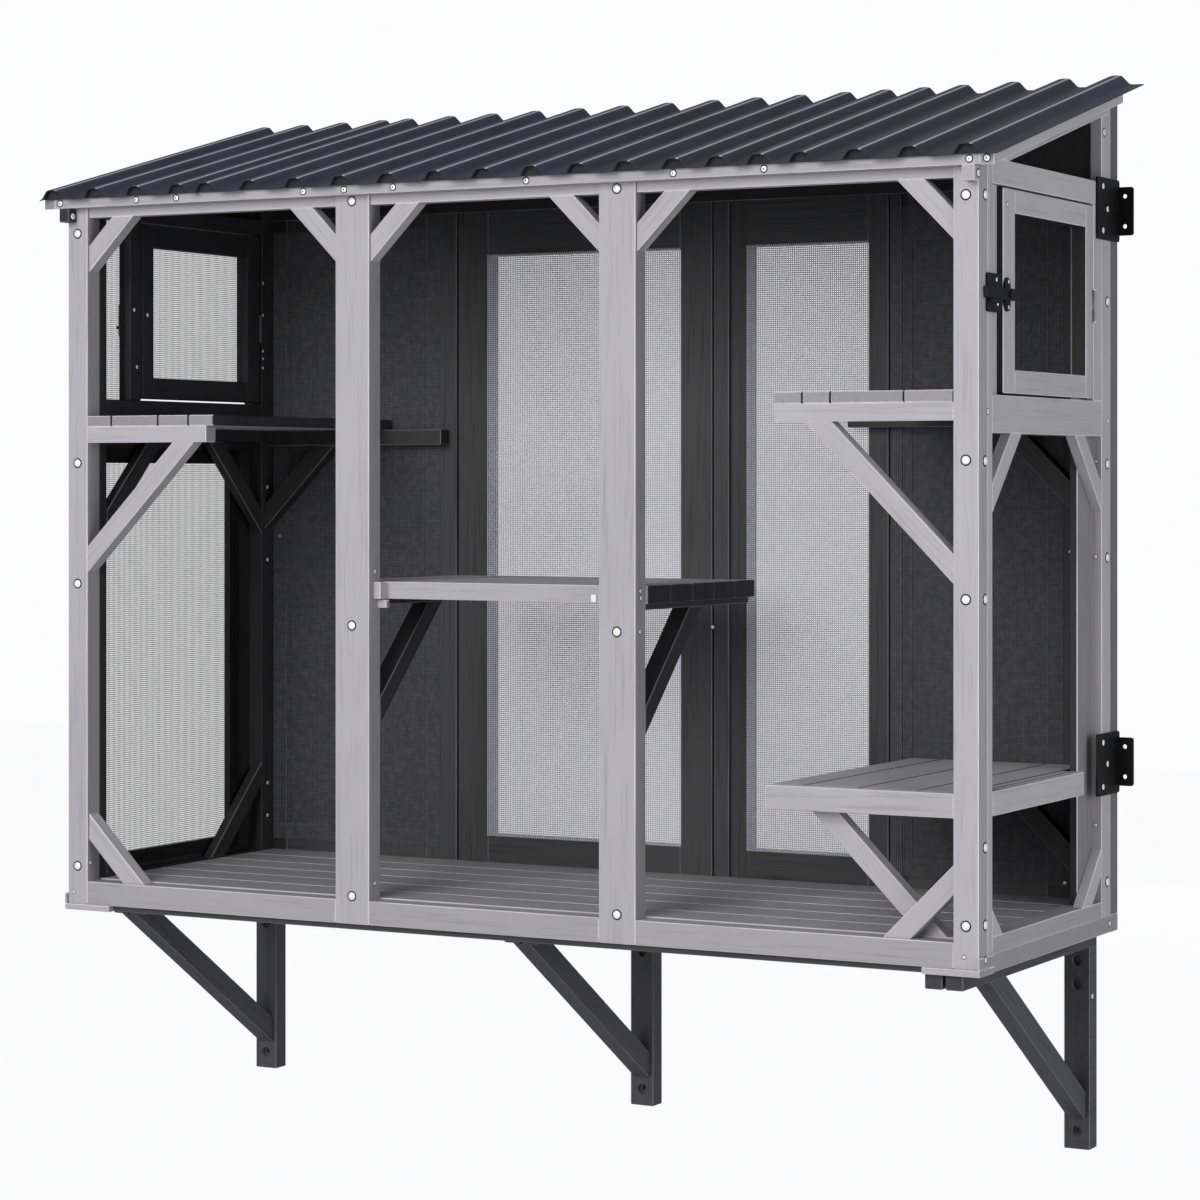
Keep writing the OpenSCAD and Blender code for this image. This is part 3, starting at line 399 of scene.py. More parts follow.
def object_from(name: str, mesh: Mesh, finish: Finish, second: Finish | None = None) -> Object:
    """Link a finished mesh as an object at the origin.

    Args:
        name: The piece's name.
        mesh: Its mesh, in place.
        finish: What it is made of.
        second: What its faces with material index 1 are made of, if it has such faces.

    Returns:
        The object.
    """
    piece = bpy.data.objects.new(name, mesh)
    bpy.context.scene.collection.objects.link(piece)
    slots = [face.material_index for face in mesh.polygons]
    mesh.materials.clear()
    mesh.materials.append(finish.material())
    if second:
        mesh.materials.append(second.material())
        mesh.polygons.foreach_set("material_index", slots)
    return piece


def mesh_from(form: Form, name: str, smooth_deg: float = 0.0) -> Mesh:
    """Turn a form into a mesh and free it.

    Args:
        form: The form.
        name: The mesh's name.
        smooth_deg: Edges up to this angle are smooth. At 0 its faces stay as they are.

    Returns:
        The mesh.
    """
    mesh = bpy.data.meshes.new(name)
    if smooth_deg:
        for face in form.faces:
            face.smooth = True
    form.to_mesh(mesh)
    form.free()
    if smooth_deg:
        mesh.set_sharp_from_angle(angle=math.radians(smooth_deg))
    return mesh


def packed(node: str) -> Form:
    """Copy a CAD node's solids, with their corners merged."""
    form = bmesh.new()
    form.from_mesh(frame["nodes"][node].data)
    bmesh.ops.remove_doubles(form, verts=form.verts, dist=MERGE)
    return form


def islands(form: Form) -> list[list]:
    """Split a form into its loose solids.

    Args:
        form: The form.

    Returns:
        The faces of each solid.
    """
    form.faces.ensure_lookup_table()
    seen: set[int] = set()
    found = []
    for start in form.faces:
        if start.index in seen:
            continue
        stack, solid = [start], []
        seen.add(start.index)
        while stack:
            face = stack.pop()
            solid.append(face)
            for other in (near for edge in face.edges for near in edge.link_faces):
                if other.index not in seen:
                    seen.add(other.index)
                    stack.append(other)
        found.append(solid)
    return found


def box_of(faces: list) -> tuple[Vector, Vector]:
    """Find a solid's box.

    Args:
        faces: The solid's faces.

    Returns:
        Its low and high corners.
    """
    places = [vert.co for face in faces for vert in face.verts]
    low, high = (Vector([pick(co[k] for co in places) for k in range(3)]) for pick in (min, max))
    return low, high


def middle_of(faces: list) -> Vector:
    """Return the mean of the faces' centres."""
    return sum((face.calc_center_median() for face in faces), Vector()) / len(faces)


def long_axis(faces: list) -> Vector:
    """Find the way a board's grain runs.

    Args:
        faces: The board's faces.

    Returns:
        The direction in which its longest edges run.
    """
    votes: list[tuple[Vector, float]] = []
    # a dict keeps their order, where a set would give another grain each run
    for edge in dict.fromkeys(edge for face in faces for edge in face.edges):
        run = edge.verts[1].co - edge.verts[0].co
        length = run.length
        if length < MERGE:
            continue
        way = run / length
        for i, (axis, weight) in enumerate(votes):
            if abs(axis.dot(way)) > PARALLEL:
                votes[i] = (axis, weight + length)
                break
        else:
            votes.append((way, length))
    return max(votes, key=lambda vote: vote[1])[0]


def band(form: Form, low: list, high: list) -> None:
    """Join two rings of corners by faces.

    Args:
        form: The form that has the corners.
        low: One ring.
        high: The other, with as many corners. A corner may stand in a ring again and again.
    """
    for i in range(len(low)):
        j = (i + 1) % len(low)
        corners = list(dict.fromkeys((low[i], low[j], high[j], high[i])))
        if len(corners) > 2:
            form.faces.new(corners)


def lathe(outline: tuple, steps: int) -> Form:
    """Turn an outline round Z.

    Args:
        outline: Radius and height of each point, from the foot's centre to the top's.
        steps: How many sides.

    Returns:
        A closed form with its faces outwards.
    """
    form = bmesh.new()
    turns = [2 * math.pi * i / steps for i in range(steps)]
    rings = []
    for radius, height in outline:
        if radius > 0:
            places = [(radius * math.cos(turn), radius * math.sin(turn), height) for turn in turns]
            rings.append([form.verts.new(place) for place in places])
        else:
            rings.append([form.verts.new((0, 0, height))] * steps)
    for low, high in zip(rings, rings[1:]):
        band(form, low, high)
    bmesh.ops.recalc_face_normals(form, faces=form.faces)
    return form


def body_of(node: str) -> str:
    """Return the body that carries a CAD node."""
    for body, members in frame["record"]["behaviour"]["bodies"].items():
        if node in members:
            return body
    raise KeyError(node)


class GrowTree:
    """A Geometry Nodes tree with named inputs, run once on a carrier mesh."""

    def __init__(self, name: str) -> None:
        """Start the tree.

        Args:
            name: The tree's name.
        """
        self.tree = bpy.data.node_groups.new(name, "GeometryNodeTree")
        for way in ("INPUT", "OUTPUT"):
            self.tree.interface.new_socket("Geometry", in_out=way, socket_type="NodeSocketGeometry")
        self.ids: dict[str, str] = {}
        self.entry = self.tree.nodes.new("NodeGroupInput")

    def add_input(self, name: str, kind: str) -> Socket:
        """Add a named input of a kind and return its socket on the entry node."""
        socket = self.tree.interface.new_socket(name, in_out="INPUT", socket_type="NodeSocket" + kind)
        self.ids[name] = socket.identifier
        return self.entry.outputs[name]

    def close(self, geometry: Socket, skin: Socket) -> None:
        """End the tree in Realize Instances and Set Material.

        Args:
            geometry: The socket with all instances.
            skin: The entry's material socket.
        """
        real = add_node(self.tree, "GeometryNodeRealizeInstances", {0: geometry})
        wears = {"Geometry": real.outputs[0], "Material": skin}
        dressed = add_node(self.tree, "GeometryNodeSetMaterial", wears)
        add_node(self.tree, "NodeGroupOutput", {0: dressed.outputs[0]})

    def run(self, carrier: Object, values: dict) -> Mesh:
        """Grow the geometry on a carrier and return it as a plain mesh.

        Args:
            carrier: The object whose mesh feeds the tree.
            values: Input values by name.

        Returns:
            The new mesh. The carrier is removed.
        """
        grow = carrier.modifiers.new("grow", "NODES")
        grow.node_group = self.tree
        for name, value in values.items():
            grow[self.ids[name]] = value
        bpy.context.view_layer.update()
        graph = bpy.context.evaluated_depsgraph_get()
        mesh = bpy.data.meshes.new_from_object(carrier.evaluated_get(graph))
        carrier.modifiers.remove(grow)
        bpy.data.objects.remove(carrier)
        return mesh


class Scatter(GrowTree):
    """Stands one small shape on every point of a carrier, turned and scaled by attributes."""

    def __init__(self) -> None:
        """Build the tree with a shape and a material input."""
        super().__init__("scatter")
        shape = self.add_input("Shape", "Object")
        skin = self.add_input("Material", "Material")
        info = add_node(self.tree, "GeometryNodeObjectInfo", {"Object": shape})
        places = {
            "Points": self.entry.outputs["Geometry"],
            "Instance": info.outputs["Geometry"],
            "Rotation": self.attribute("turn"),
            "Scale": self.attribute("size"),
        }
        self.close(add_node(self.tree, "GeometryNodeInstanceOnPoints", places).outputs[0], skin)

    def attribute(self, name: str) -> Socket:
        """Return a vector attribute of the points."""
        kind = "GeometryNodeInputNamedAttribute"
        return add_node(self.tree, kind, {"Name": name}, data_type="FLOAT_VECTOR").outputs["Attribute"]

    def stand(self, name: str, shape: Mesh, spots: list[tuple], finish: Finish) -> Object:
        """Put the shape on each spot and return all the copies as one piece.

        Args:
            name: The piece's name.
            shape: The unit shape's mesh, its outward way along +Z.
            spots: Place, outward way and scale of each copy.
            finish: What the copies are made of.

        Returns:
            The piece.
        """
        points = bpy.data.meshes.new(name + "_points")
        points.from_pydata([tuple(place) for place, _, _ in spots], [], [])
        turns = points.attributes.new("turn", "FLOAT_VECTOR", "POINT")
        sizes = points.attributes.new("size", "FLOAT_VECTOR", "POINT")
        for i, (_, way, size) in enumerate(spots):
            turns.data[i].vector = Vector(way).to_track_quat("Z", "Y").to_euler()
            sizes.data[i].vector = size
        carrier = bpy.data.objects.new(name + "_carrier", points)
        model = bpy.data.objects.new(name + "_shape", shape)
        for thing in (carrier, model):
            bpy.context.scene.collection.objects.link(thing)
        mesh = self.run(carrier, {"Shape": model, "Material": finish.material()})
        bpy.data.objects.remove(model)
        return object_from(name, mesh, finish)


# ---------------- timber


@dataclass
class Timberwork:
    """All sawn boards, cut from the solids, with eased edges and their own grain."""

    light: tuple[str, ...] = (
        "front_fascia", "rake_fascias", "side_rafters", "corner_posts", "mullions", "front_top_rails",
        "front_bottom_rails", "top_knee_braces", "bottom_knee_braces", "rafter_tails", "base_rails",
        "base_corner_blocks", "floor_planks", "side_front_stiles", "side_rear_stiles", "side_bottom_rails",
        "side_mid_rails", "side_top_rails", "side_braces", "side_foot_braces", "hinge_stiles", "latch_stiles",
        "right_door_stiles", "right_door_rails", "left_door_stiles", "left_door_rails", "shelf_planks",
        "shelf_edge_boards", "shelf_rails", "shelf_braces", "side_inner_stiles", "left_screen_rails",
    )
    dark: tuple[str, ...] = (
        "middle_rafters", "back_header", "base_front_strip", "floor_joists", "bracket_wall_boards",
        "bracket_arms", "bracket_struts", "back_stiles", "back_rails", "back_boards",
    )
    # how the names of the boards of side frames and doors begin, but for the braces
    framed: tuple[str, ...] = ("side_", "hinge_", "latch_", "right_", "left_")
    planked: tuple[str, ...] = ("floor_planks", "shelf_planks")
    pale_ended: tuple[str, ...] = ("back_stiles", "back_header")
    # dark where they are past wall_y
    by_the_wall: tuple[str, ...] = ("shelf_rails", "shelf_braces")
    wall_y: float = -0.48
    # dark on the cabin's left
    left_dark: tuple[str, ...] = ("side_braces", "side_foot_braces", "rafter_tails")
    # the outer back boards, past corner_x, lie in shade
    shaded: tuple[str, ...] = ("back_stiles", "back_boards")
    corner_x: float = 0.65
    # painted light and shade on whole nodes: bottom rails, floor, back header and rafters darker as
    # painted shade, brackets lighter as painted light; and painted shade on the side faces of some
    depth: dict[str, float] = field(
        default_factory=lambda: {
            "floor_planks": 0.8, "front_bottom_rails": 0.84, "side_bottom_rails": 0.76, "back_header": 0.35,
            "middle_rafters": 0.4, "bracket_wall_boards": 1.6, "bracket_struts": 1.8, "bracket_arms": 1.4,
        }
    )
    post_sides: dict[str, float] = field(
        default_factory=lambda: {"mullions": 0.66, "corner_posts": 0.76, "side_inner_stiles": 0.5}
    )
    # painted shade on dark boards in a pale node and on shaded boards; tone of end grain and joints
    dark_depth: float = 0.55
    corner_depth: float = 0.3
    end_depth: float = 0.66
    joint_depth: float = 0.1
    tones: tuple[float, float] = (0.88, 0.98)
    grain_reach: float = 9.0
    seed: int = 7
    # edges longer than a bore's facet are eased where they turn by more than corner_deg
    ease: float = 1.1 * MM
    bore_edge: float = 1.62 * MM
    corner_deg: float = 60.0
    flat_deg: float = 0.5
    # widest face that counts as an eased edge, and how far past it the next plank is felt
    rim: float = 1.8 * MM
    joint_reach: float = 4 * MM
    end_x: float = 0.735
    # a normal's share along an axis: turned towards it, square to it, and an edge's least
    facing: float = 0.5
    square: float = 0.9
    tilted: float = 0.2

    def build(self) -> None:
        """Dress every timber node."""
        dice = random.Random(self.seed)
        for names, finish in ((self.light, Finish.GREY), (self.dark, Finish.CHARCOAL)):
            for node in names:
                self.dress(node, finish, dice)

    def is_dark(self, node: str, centre: Vector) -> bool:
        """Tell whether a board of a pale node is dark: it lies by the wall or in the left frame."""
        near_wall = node in self.by_the_wall and centre.y > self.wall_y
        return near_wall or (node in self.left_dark and centre.x < 0)

    def is_inside(self, node: str, face: bmesh.types.BMFace) -> bool:
        """Tell whether a face of a side frame, a door or a shelf gets painted shade.

        The left frame, both doors and the thin inner stiles get this painted shade but for their outer
        faces, the rest of the right frame only on faces turned into the cabin, shelves at their right ends.

        Args:
            node: The CAD node.
            face: One face of a board.

        Returns:
            True for a dark face.
        """
        if node == "shelf_planks":
            return face.normal.x > self.facing
        if not node.startswith(self.framed) or "braces" in node:
            return False
        side = face.calc_center_median().x
        outward = face.normal.x * math.copysign(1.0, side)
        if side > 0 and "door" not in node and node != "side_inner_stiles":
            return outward < -self.facing
        return outward < self.facing

    def is_joint(self, face: bmesh.types.BMFace, boxes: list[tuple[Vector, Vector]]) -> bool:
        """Tell whether an eased edge lies in the joint between two planks.

        Args:
            face: One face of a plank.
            boxes: The low and high corners of all the planks.

        Returns:
            True where another plank lies just past the edge.
        """
        if not self.tilted < face.normal.z < self.square:
            return False
        probe = face.calc_center_median() + Vector((*face.normal.xy, 0)) * self.joint_reach
        return any(all(low[i] < probe[i] < high[i] for i in range(3)) for low, high in boxes)

    def is_pale_end(self, node: str, face: bmesh.types.BMFace) -> bool:
        """Tell whether a face of the dark back frame is one of its pale outer ends."""
        x = face.calc_center_median().x
        return node in self.pale_ended and abs(x) > self.end_x and face.normal.x * x > self.facing * abs(x)

    def is_sharp(self, edge: bmesh.types.BMEdge) -> bool:
        """Tell whether an edge of a board is eased."""
        if len(edge.link_faces) != 2 or edge.calc_length() <= self.bore_edge:
            return False
        return edge.calc_face_angle(0) > math.radians(self.corner_deg)

    def dress(self, node: str, finish: Finish, dice: random.Random) -> None:
        """Replace one node by boards with grain and eased edges.

        Args:
            node: The CAD node.
            finish: Its stain.
            dice: The source of each board's tone.
        """
        form = packed(node)
        whole = {"verts": form.verts, "edges": form.edges, "delimit": {"NORMAL"}}
        bmesh.ops.dissolve_limit(form, angle_limit=math.radians(self.flat_deg), **whole)
        for face in form.faces:
            face.smooth = False
        sharp = [edge for edge in form.edges if self.is_sharp(edge)]
        bmesh.ops.bevel(form, geom=sharp, offset=self.ease, segments=1, affect="EDGES", clamp_overlap=True)
        bmesh.ops.recalc_face_normals(form, faces=form.faces)
        self.write_grain(node, form, dice)
        other = Finish.CHARCOAL if finish is Finish.GREY else Finish.GREY
        second = other if any(face.material_index for face in form.faces) else None
        mesh = mesh_from(form, node + "_boards")
        piece = object_from(node + "_boards", mesh, finish, second)
        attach(piece, body_of(node))
        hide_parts(node)
        LOG.info("%s: %d faces", piece.name, len(mesh.polygons))

    def write_grain(self, node: str, form: Form, dice: random.Random) -> None:
        """Write each board's grain coordinates, its tone with the painted light and shade, the eased
        edges that get a painted highlight, and the inner faces that get painted shade.

        Faces that take the other stain than their node get index 1.

        Args:
            node: The CAD node.
            form: The boards of one node.
            dice: The source of each board's tone and grain offset.
        """
        grain = form.loops.layers.float_vector.new("grain")
        tone_and_painted_light, eased, inside = (form.loops.layers.float.new(name) for name in ("tone_and_painted_light", "eased", "inside"))
        boards = islands(form)
        boxes = [box_of(faces) for faces in boards] if node in self.planked else []
        for faces in boards:
            lead = long_axis(faces)
            side = lead.orthogonal().normalized()
            turn = Matrix((lead, side, lead.cross(side)))
            shift = Vector([dice.uniform(0, self.grain_reach) for _ in range(3)])
            # random tone of the board, times the node's painted light and shade
            shade = dice.uniform(*self.tones) * self.depth.get(node, 1.0)
            middle = middle_of(faces)
            dark = self.is_dark(node, middle)
            # boards by the wall and in the left frame take the other stain and are darkened further as
            # painted shade
            if dark:
                shade *= self.dark_depth
            if node in self.shaded and abs(middle.x) > self.corner_x:
                shade *= self.corner_depth
            for face in faces:
                if dark or self.is_pale_end(node, face):
                    face.material_index = 1
                longest = max(edge.calc_length() for edge in face.edges)
                # narrow eased faces get the painted edge highlight
                gloss_or_highlight = float(face.calc_area() < self.rim * longest)
                # faces turned into the cabin get painted shade
                shaded_face = float(self.is_inside(node, face))
                # no painted highlight on faces with painted shade, nor on plank edges that don't face the
                # front
                if shaded_face or (node in self.planked and face.normal.y > -self.facing):
                    gloss_or_highlight = 0.0
                share = self.end_depth if abs(face.normal.dot(lead)) > self.square else 1.0
                # side faces of posts and inner stiles get painted shade
                if abs(face.normal.x) > self.square:
                    share *= self.post_sides.get(node, 1.0)
                if not gloss_or_highlight and self.is_joint(face, boxes):
                    share = self.joint_depth
                for loop in face.loops:
                    loop[grain] = turn @ loop.vert.co + shift
                    loop[tone_and_painted_light] = shade * share
                    loop[eased] = gloss_or_highlight
                    loop[inside] = shaded_face


# ---------------- roof


@dataclass
class Roof:
    """The corrugated sheet, rolled round its own packed ribs, and the foam below each rib."""

    scatter: Scatter
    node: str = "roof_sheet"
    slope_deg: float = 14.57
    sheet_t: float = 1.4 * MM
    # width of the painted highlight line beside a fold, and the angle up to which the sheet is smooth
    rubbed: float = 2.6 * MM
    smooth_deg: float = 40.0
    cuts: int = 3
    plug_deep: float = 24 * MM
    plug_back: float = 9 * MM
    plug_play: float = 0.4 * MM
    # packed corners this close to the eave are on it, and so close to the top on a crest
    eave_play: float = 0.1 * MM
    crest_play: float = 0.01 * MM
    digits: int = 5

    def build(self) -> None:
        """Roll the sheet and plug the ribs."""
        eave, run, folds = self.read_line()
        line = self.soften(folds)
        sheet = self.roll(folds, line, eave, run)
        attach(sheet, body_of(self.node))
        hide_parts(self.node)
        plugs = self.plug(folds, line, eave)
        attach(plugs, body_of(self.node))

    def ways(self) -> tuple[Vector, Vector]:
        """Return the way up the slope, towards the wall, and the way square to it, upwards."""
        slope = math.radians(self.slope_deg)
        return Vector((0, math.cos(slope), math.sin(slope))), Vector((0, -math.sin(slope), math.cos(slope)))

    def read_line(self) -> tuple[Vector, float, list[tuple[float, float]]]:
        """Read the underside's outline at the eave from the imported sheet.

        Returns:
            The eave's lowest point at X = 0, the length up the slope, and the outline as
            places across and heights above the slope.
        """
        along, up = self.ways()
        corners = [vert.co for vert in frame["nodes"][self.node].data.vertices]
        near = min(co.dot(along) for co in corners)
        far = max(co.dot(along) for co in corners)
        base = min(co.dot(up) for co in corners)
        lowest: dict[float, float] = {}
        for co in corners:
            if co.dot(along) - near < self.eave_play:
                across = round(co.x, self.digits)
                height = co.dot(up) - base
                lowest[across] = min(height, lowest.get(across, height))
        return along * near + up * base, far - near, sorted(lowest.items())

    def soften(self, line: list[tuple[float, float]]) -> list[tuple[float, float]]:
        """Round the folds by cutting every corner a few times.

        Args:
            line: The outline with sharp folds.

        Returns:
            The outline with rounded folds.
        """
        for _ in range(self.cuts):
            finer = [line[0]]
            for (x0, z0), (x1, z1) in zip(line, line[1:]):
                # each line loses a quarter at either end
                for far in (0.25, 0.75):
                    finer.append((x0 * (1 - far) + x1 * far, z0 * (1 - far) + z1 * far))
            line = [*finer, line[-1]]
        return line

    def crests(self, folds: list[tuple[float, float]]) -> list[float]:
        """List where the ribs' upper folds are, two for each rib."""
        top = max(z for _, z in folds)
        return [x for x, z in folds if z > top - self.crest_play]

    def roll(self, folds: list, line: list, eave: Vector, run: float) -> Object:
        """Make the closed sheet.

        Args:
            folds: The underside's sharp outline.
            line: The underside's rounded outline.
            eave: The eave's lowest point at X = 0.
            run: The sheet's length up the slope.

        Returns:
            The sheet.
        """
        along, up = self.ways()
        upper = []
        for i, (x, z) in enumerate(line):
            x0, z0 = line[max(i - 1, 0)]
            x1, z1 = line[min(i + 1, len(line) - 1)]
            lean = Vector((z0 - z1, x1 - x0)).normalized() * self.sheet_t
            upper.append((x + lean.x, z + lean.y))
        form = bmesh.new()
        fold_highlight = form.verts.layers.float.new("fold_highlight")
        half_up = max(z for _, z in folds) / 2
        # a painted highlight runs along the second upper fold of each rib, on the rib's upper half
        rubbed = self.crests(folds)[1::2]
        rings = []
        for reach in (0.0, run):
            ring = []
            for x, z in line + upper[::-1]:
                vert = form.verts.new(eave + Vector((x, 0, 0)) + up * z + along * reach)
                near = min(abs(x - crest) for crest in rubbed)
                vert[fold_highlight] = max(0.0, 1.0 - near / self.rubbed) if z > half_up else 0.0
                ring.append(vert)
            rings.append(ring)
        band(form, *rings)
        for ring in rings:
            for i in range(len(line) - 1):
                form.faces.new((ring[i], ring[i + 1], ring[-2 - i], ring[-1 - i]))
        bmesh.ops.recalc_face_normals(form, faces=form.faces)
        name = "roof_rolled_sheet"
        return object_from(name, mesh_from(form, name, self.smooth_deg), Finish.ROOF)

    def plug(self, folds: list, line: list, eave: Vector) -> Object:
        """Cut one foam plug to a rib's outline and stand it under every rib.

        Args:
            folds: The sharp outline, which tells where the ribs are.
            line: The rounded outline, which the plugs fill.
            eave: The eave's lowest point at X = 0.

        Returns:
            All the plugs as one piece.
        """
        crests = self.crests(folds)
        centres = [(a + b) / 2 for a, b in zip(crests[::2], crests[1::2])]
        # the second rib has a whole rib on either side, so it gives the plug's outline
        first = centres[1]
        half = (centres[2] - first) / 2
        arch = [(x - first, z - self.plug_play) for x, z in line if abs(x - first) < half]
        arch = [(x, z) for x, z in arch if z > self.plug_play]
        outline = [(arch[0][0], 0.0), *arch, (arch[-1][0], 0.0)]
        form = bmesh.new()
        caps = [[form.verts.new((x, z, reach)) for x, z in outline] for reach in (0.0, -self.plug_deep)]
        for cap in caps:
            form.faces.new(cap)
        band(form, *caps)
        bmesh.ops.recalc_face_normals(form, faces=form.faces)
        along, _ = self.ways()
        start = eave + along * self.plug_back
        spots = [(start + Vector((x, 0, 0)), -along, (1, 1, 1)) for x in centres]
        return self.scatter.stand("roof_foam_plugs", mesh_from(form, "foam_plug_shape"), spots, Finish.FOAM)


# ---------------- screens


@dataclass(frozen=True)
class Pane:
    """One window of a screen in its own upright plane, level or rising along its length.

    Its fields have the names of the weave's inputs.
    """

    corner: tuple[float, ...]
    width: float
    height: float
    slope: float
    turn: float
    yarn: float


@dataclass
class Screens:
    """Every window strung with round yarns, in the place of its packed screen."""

    nodes: tuple[str, ...] = (
        "left_side_screen", "gable_screens", "left_slot_screen",
        "right_door_screen", "left_door_screen", "back_screens",
    )
    rising: str = "gable_screens"
    backed: str = "back_screens"
    open_door: str = "right_door_screen"
    pitch: float = 3.2 * MM
    sides: int = 6
    yarn: float = 1.1 * MM
    side_yarn: float = 0.74 * MM
    door_yarn: float = 0.32 * MM
    # the back windows that light falls through are within this reach of the middle
    pale_reach: float = 0.4
    # their yarn is thicker, in a pale colour that is painted backlight
    pale_yarn: float = 1.6 * MM
    # what is left off at their sides and foot, and at their head
    pale_trim: tuple[float, float] = (24 * MM, 50 * MM)

    def build(self) -> None:
        """String every window of every screen."""
        weave = self.grow_weave()
        for node in self.nodes:
            finish, second = (Finish.YARN, Finish.BACKLIT_YARN) if node == self.backed else (Finish.NIGHT, None)
            parts = bmesh.new()
            for pane in self.panes(node):
                carrier = bpy.data.objects.new("pane", bpy.data.meshes.new("pane"))
                bpy.context.scene.collection.objects.link(carrier)
                values = {"Pitch": self.pitch, "Material": finish.material()}
                values |= {name.capitalize(): value for name, value in vars(pane).items()}
                strung = len(parts.faces)
                parts.from_mesh(weave.run(carrier, values))
                parts.faces.ensure_lookup_table()
                for face in parts.faces[strung:]:
                    # windows with light behind take the pale yarn as painted backlight
                    face.material_index = int(pane.yarn == self.pale_yarn)
            mesh = mesh_from(parts, node + "_yarns")
            piece = object_from(node + "_yarns", mesh, finish, second)
            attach(piece, body_of(node))
            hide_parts(node)
            LOG.info("%s: %d faces", piece.name, len(mesh.polygons))

    def panes(self, node: str) -> list[Pane]:
        """Measure a node's windows.

        Args:
            node: The CAD node.

        Returns:
            Its windows.
        """
        form = packed(node)
        found = []
        for low, high in [box_of(faces) for faces in islands(form)]:
            if high.x - low.x < high.y - low.y:
                yarn = self.door_yarn if node == self.open_door else self.side_yarn
                width, turn = high.y - low.y, math.pi / 2
                corner = (high.x - yarn / 2, low.y, low.z)
            else:
                yarn = self.yarn
                if abs(low.x + high.x) < 2 * self.pale_reach:
                    side, head = self.pale_trim
                    yarn = self.pale_yarn
                    low += Vector((side, 0, side))
                    high -= Vector((side, 0, head))
                width, turn = high.x - low.x, 0.0
                corner = (low.x, low.y + yarn / 2, low.z)
            rise = high.z - low.z
            height, slope = (0.0, rise / width) if node == self.rising else (rise, 0.0)
            found.append(Pane(corner, width, height, slope, turn, yarn))
        form.free()
        return found

    def grow_weave(self) -> GrowTree:
        """Build the tree that strings one window.

        The warp stands on a row of points along the width, the weft lies on a row up the
        height. Below a rising edge the warp grows from point to point, and the weft starts
        where the edge has come up to it.

        Returns:
            The tree.
        """
        weave = GrowTree("screen_weave")
        tree = weave.tree
        names = ("Width", "Height", "Slope", "Pitch", "Yarn")
        width, height, slope, pitch, yarn = [weave.add_input(name, "Float") for name in names]
        corner = weave.add_input("Corner", "Vector")
        turn = weave.add_input("Turn", "Float")
        skin = weave.add_input("Material", "Material")

        def vector(x: Term = 0.0, y: Term = 0.0, z: Term = 0.0) -> Socket:
            """Add one vector; each part is a socket or a number."""
            return add_node(tree, "ShaderNodeCombineXYZ", {0: x, 1: y, 2: z}).outputs[0]

        def row(length: Socket, start: Socket, step: Socket) -> Socket:
            """Add a row of points, one to each pitch of the length."""
            count = calc(tree, "FLOOR", calc(tree, "DIVIDE", length, pitch))
            values = {"Count": count, "Start Location": start, "Offset": step}
            return add_node(tree, "GeometryNodeMeshLine", values, mode="OFFSET").outputs["Mesh"]

        def strung(points: Socket, way: Socket, length: Socket) -> Socket:
            """Add a yarn on each point."""
            scale = vector(1.0, 1.0, length)
            values = {"Points": points, "Instance": strand, "Rotation": way, "Scale": scale}
            return add_node(tree, "GeometryNodeInstanceOnPoints", values).outputs[0]

        place = add_node(tree, "GeometryNodeInputPosition").outputs[0]
        here = add_node(tree, "ShaderNodeSeparateXYZ", {0: place})
        straight = add_node(tree, "GeometryNodeCurvePrimitiveLine", {"End": (0, 0, 1)})
        round_yarn = {"Resolution": self.sides, "Radius": calc(tree, "MULTIPLY", yarn, 0.5)}
        ring = add_node(tree, "GeometryNodeCurvePrimitiveCircle", round_yarn)
        drawn = {"Curve": straight.outputs[0], "Profile Curve": ring.outputs[0], "Fill Caps": True}
        strand = add_node(tree, "GeometryNodeCurveToMesh", drawn).outputs["Mesh"]
        half = calc(tree, "MULTIPLY", pitch, 0.5)

        rise = calc(tree, "MULTIPLY", slope, here.outputs["X"])
        uprights = row(width, vector(x=half), vector(x=pitch))
        warp = strung(uprights, vector(), calc(tree, "ADD", height, rise))

        tall = calc(tree, "ADD", height, calc(tree, "MULTIPLY", slope, width))
        levels = row(tall, vector(y=yarn, z=half), vector(z=pitch))
        spare = calc(tree, "SUBTRACT", here.outputs["Z"], height)
        start = calc(tree, "MAXIMUM", calc(tree, "DIVIDE", spare, slope), 0.0)
        moved = add_node(tree, "GeometryNodeSetPosition", {"Geometry": levels, "Offset": vector(x=start)})
        weft = strung(moved.outputs[0], vector(y=math.pi / 2), calc(tree, "SUBTRACT", width, start))

        both = add_node(tree, "GeometryNodeJoinGeometry", {0: warp})
        tree.links.new(weft, both.inputs[0])
        hung = {"Geometry": both.outputs[0], "Translation": corner, "Rotation": vector(z=turn)}
        weave.close(add_node(tree, "GeometryNodeTransform", hung).outputs[0], skin)
        return weave


# ---------------- hardware


@dataclass(frozen=True)
class Fixing:
    """One small screw: its place and radius in millimetres, its way out and its carrier."""

    x: float
    y: float
    z: float
    way: str
    radius: float
    node: str = "frame_bolts"

    def spot(self) -> tuple:
        """Return its place, outward way and scale."""
        ways = {"+x": (1, 0, 0), "-x": (-1, 0, 0), "-y": (0, -1, 0)}
        return Vector((self.x, self.y, self.z)) * MM, Vector(ways[self.way]), (self.radius * MM,) * 3


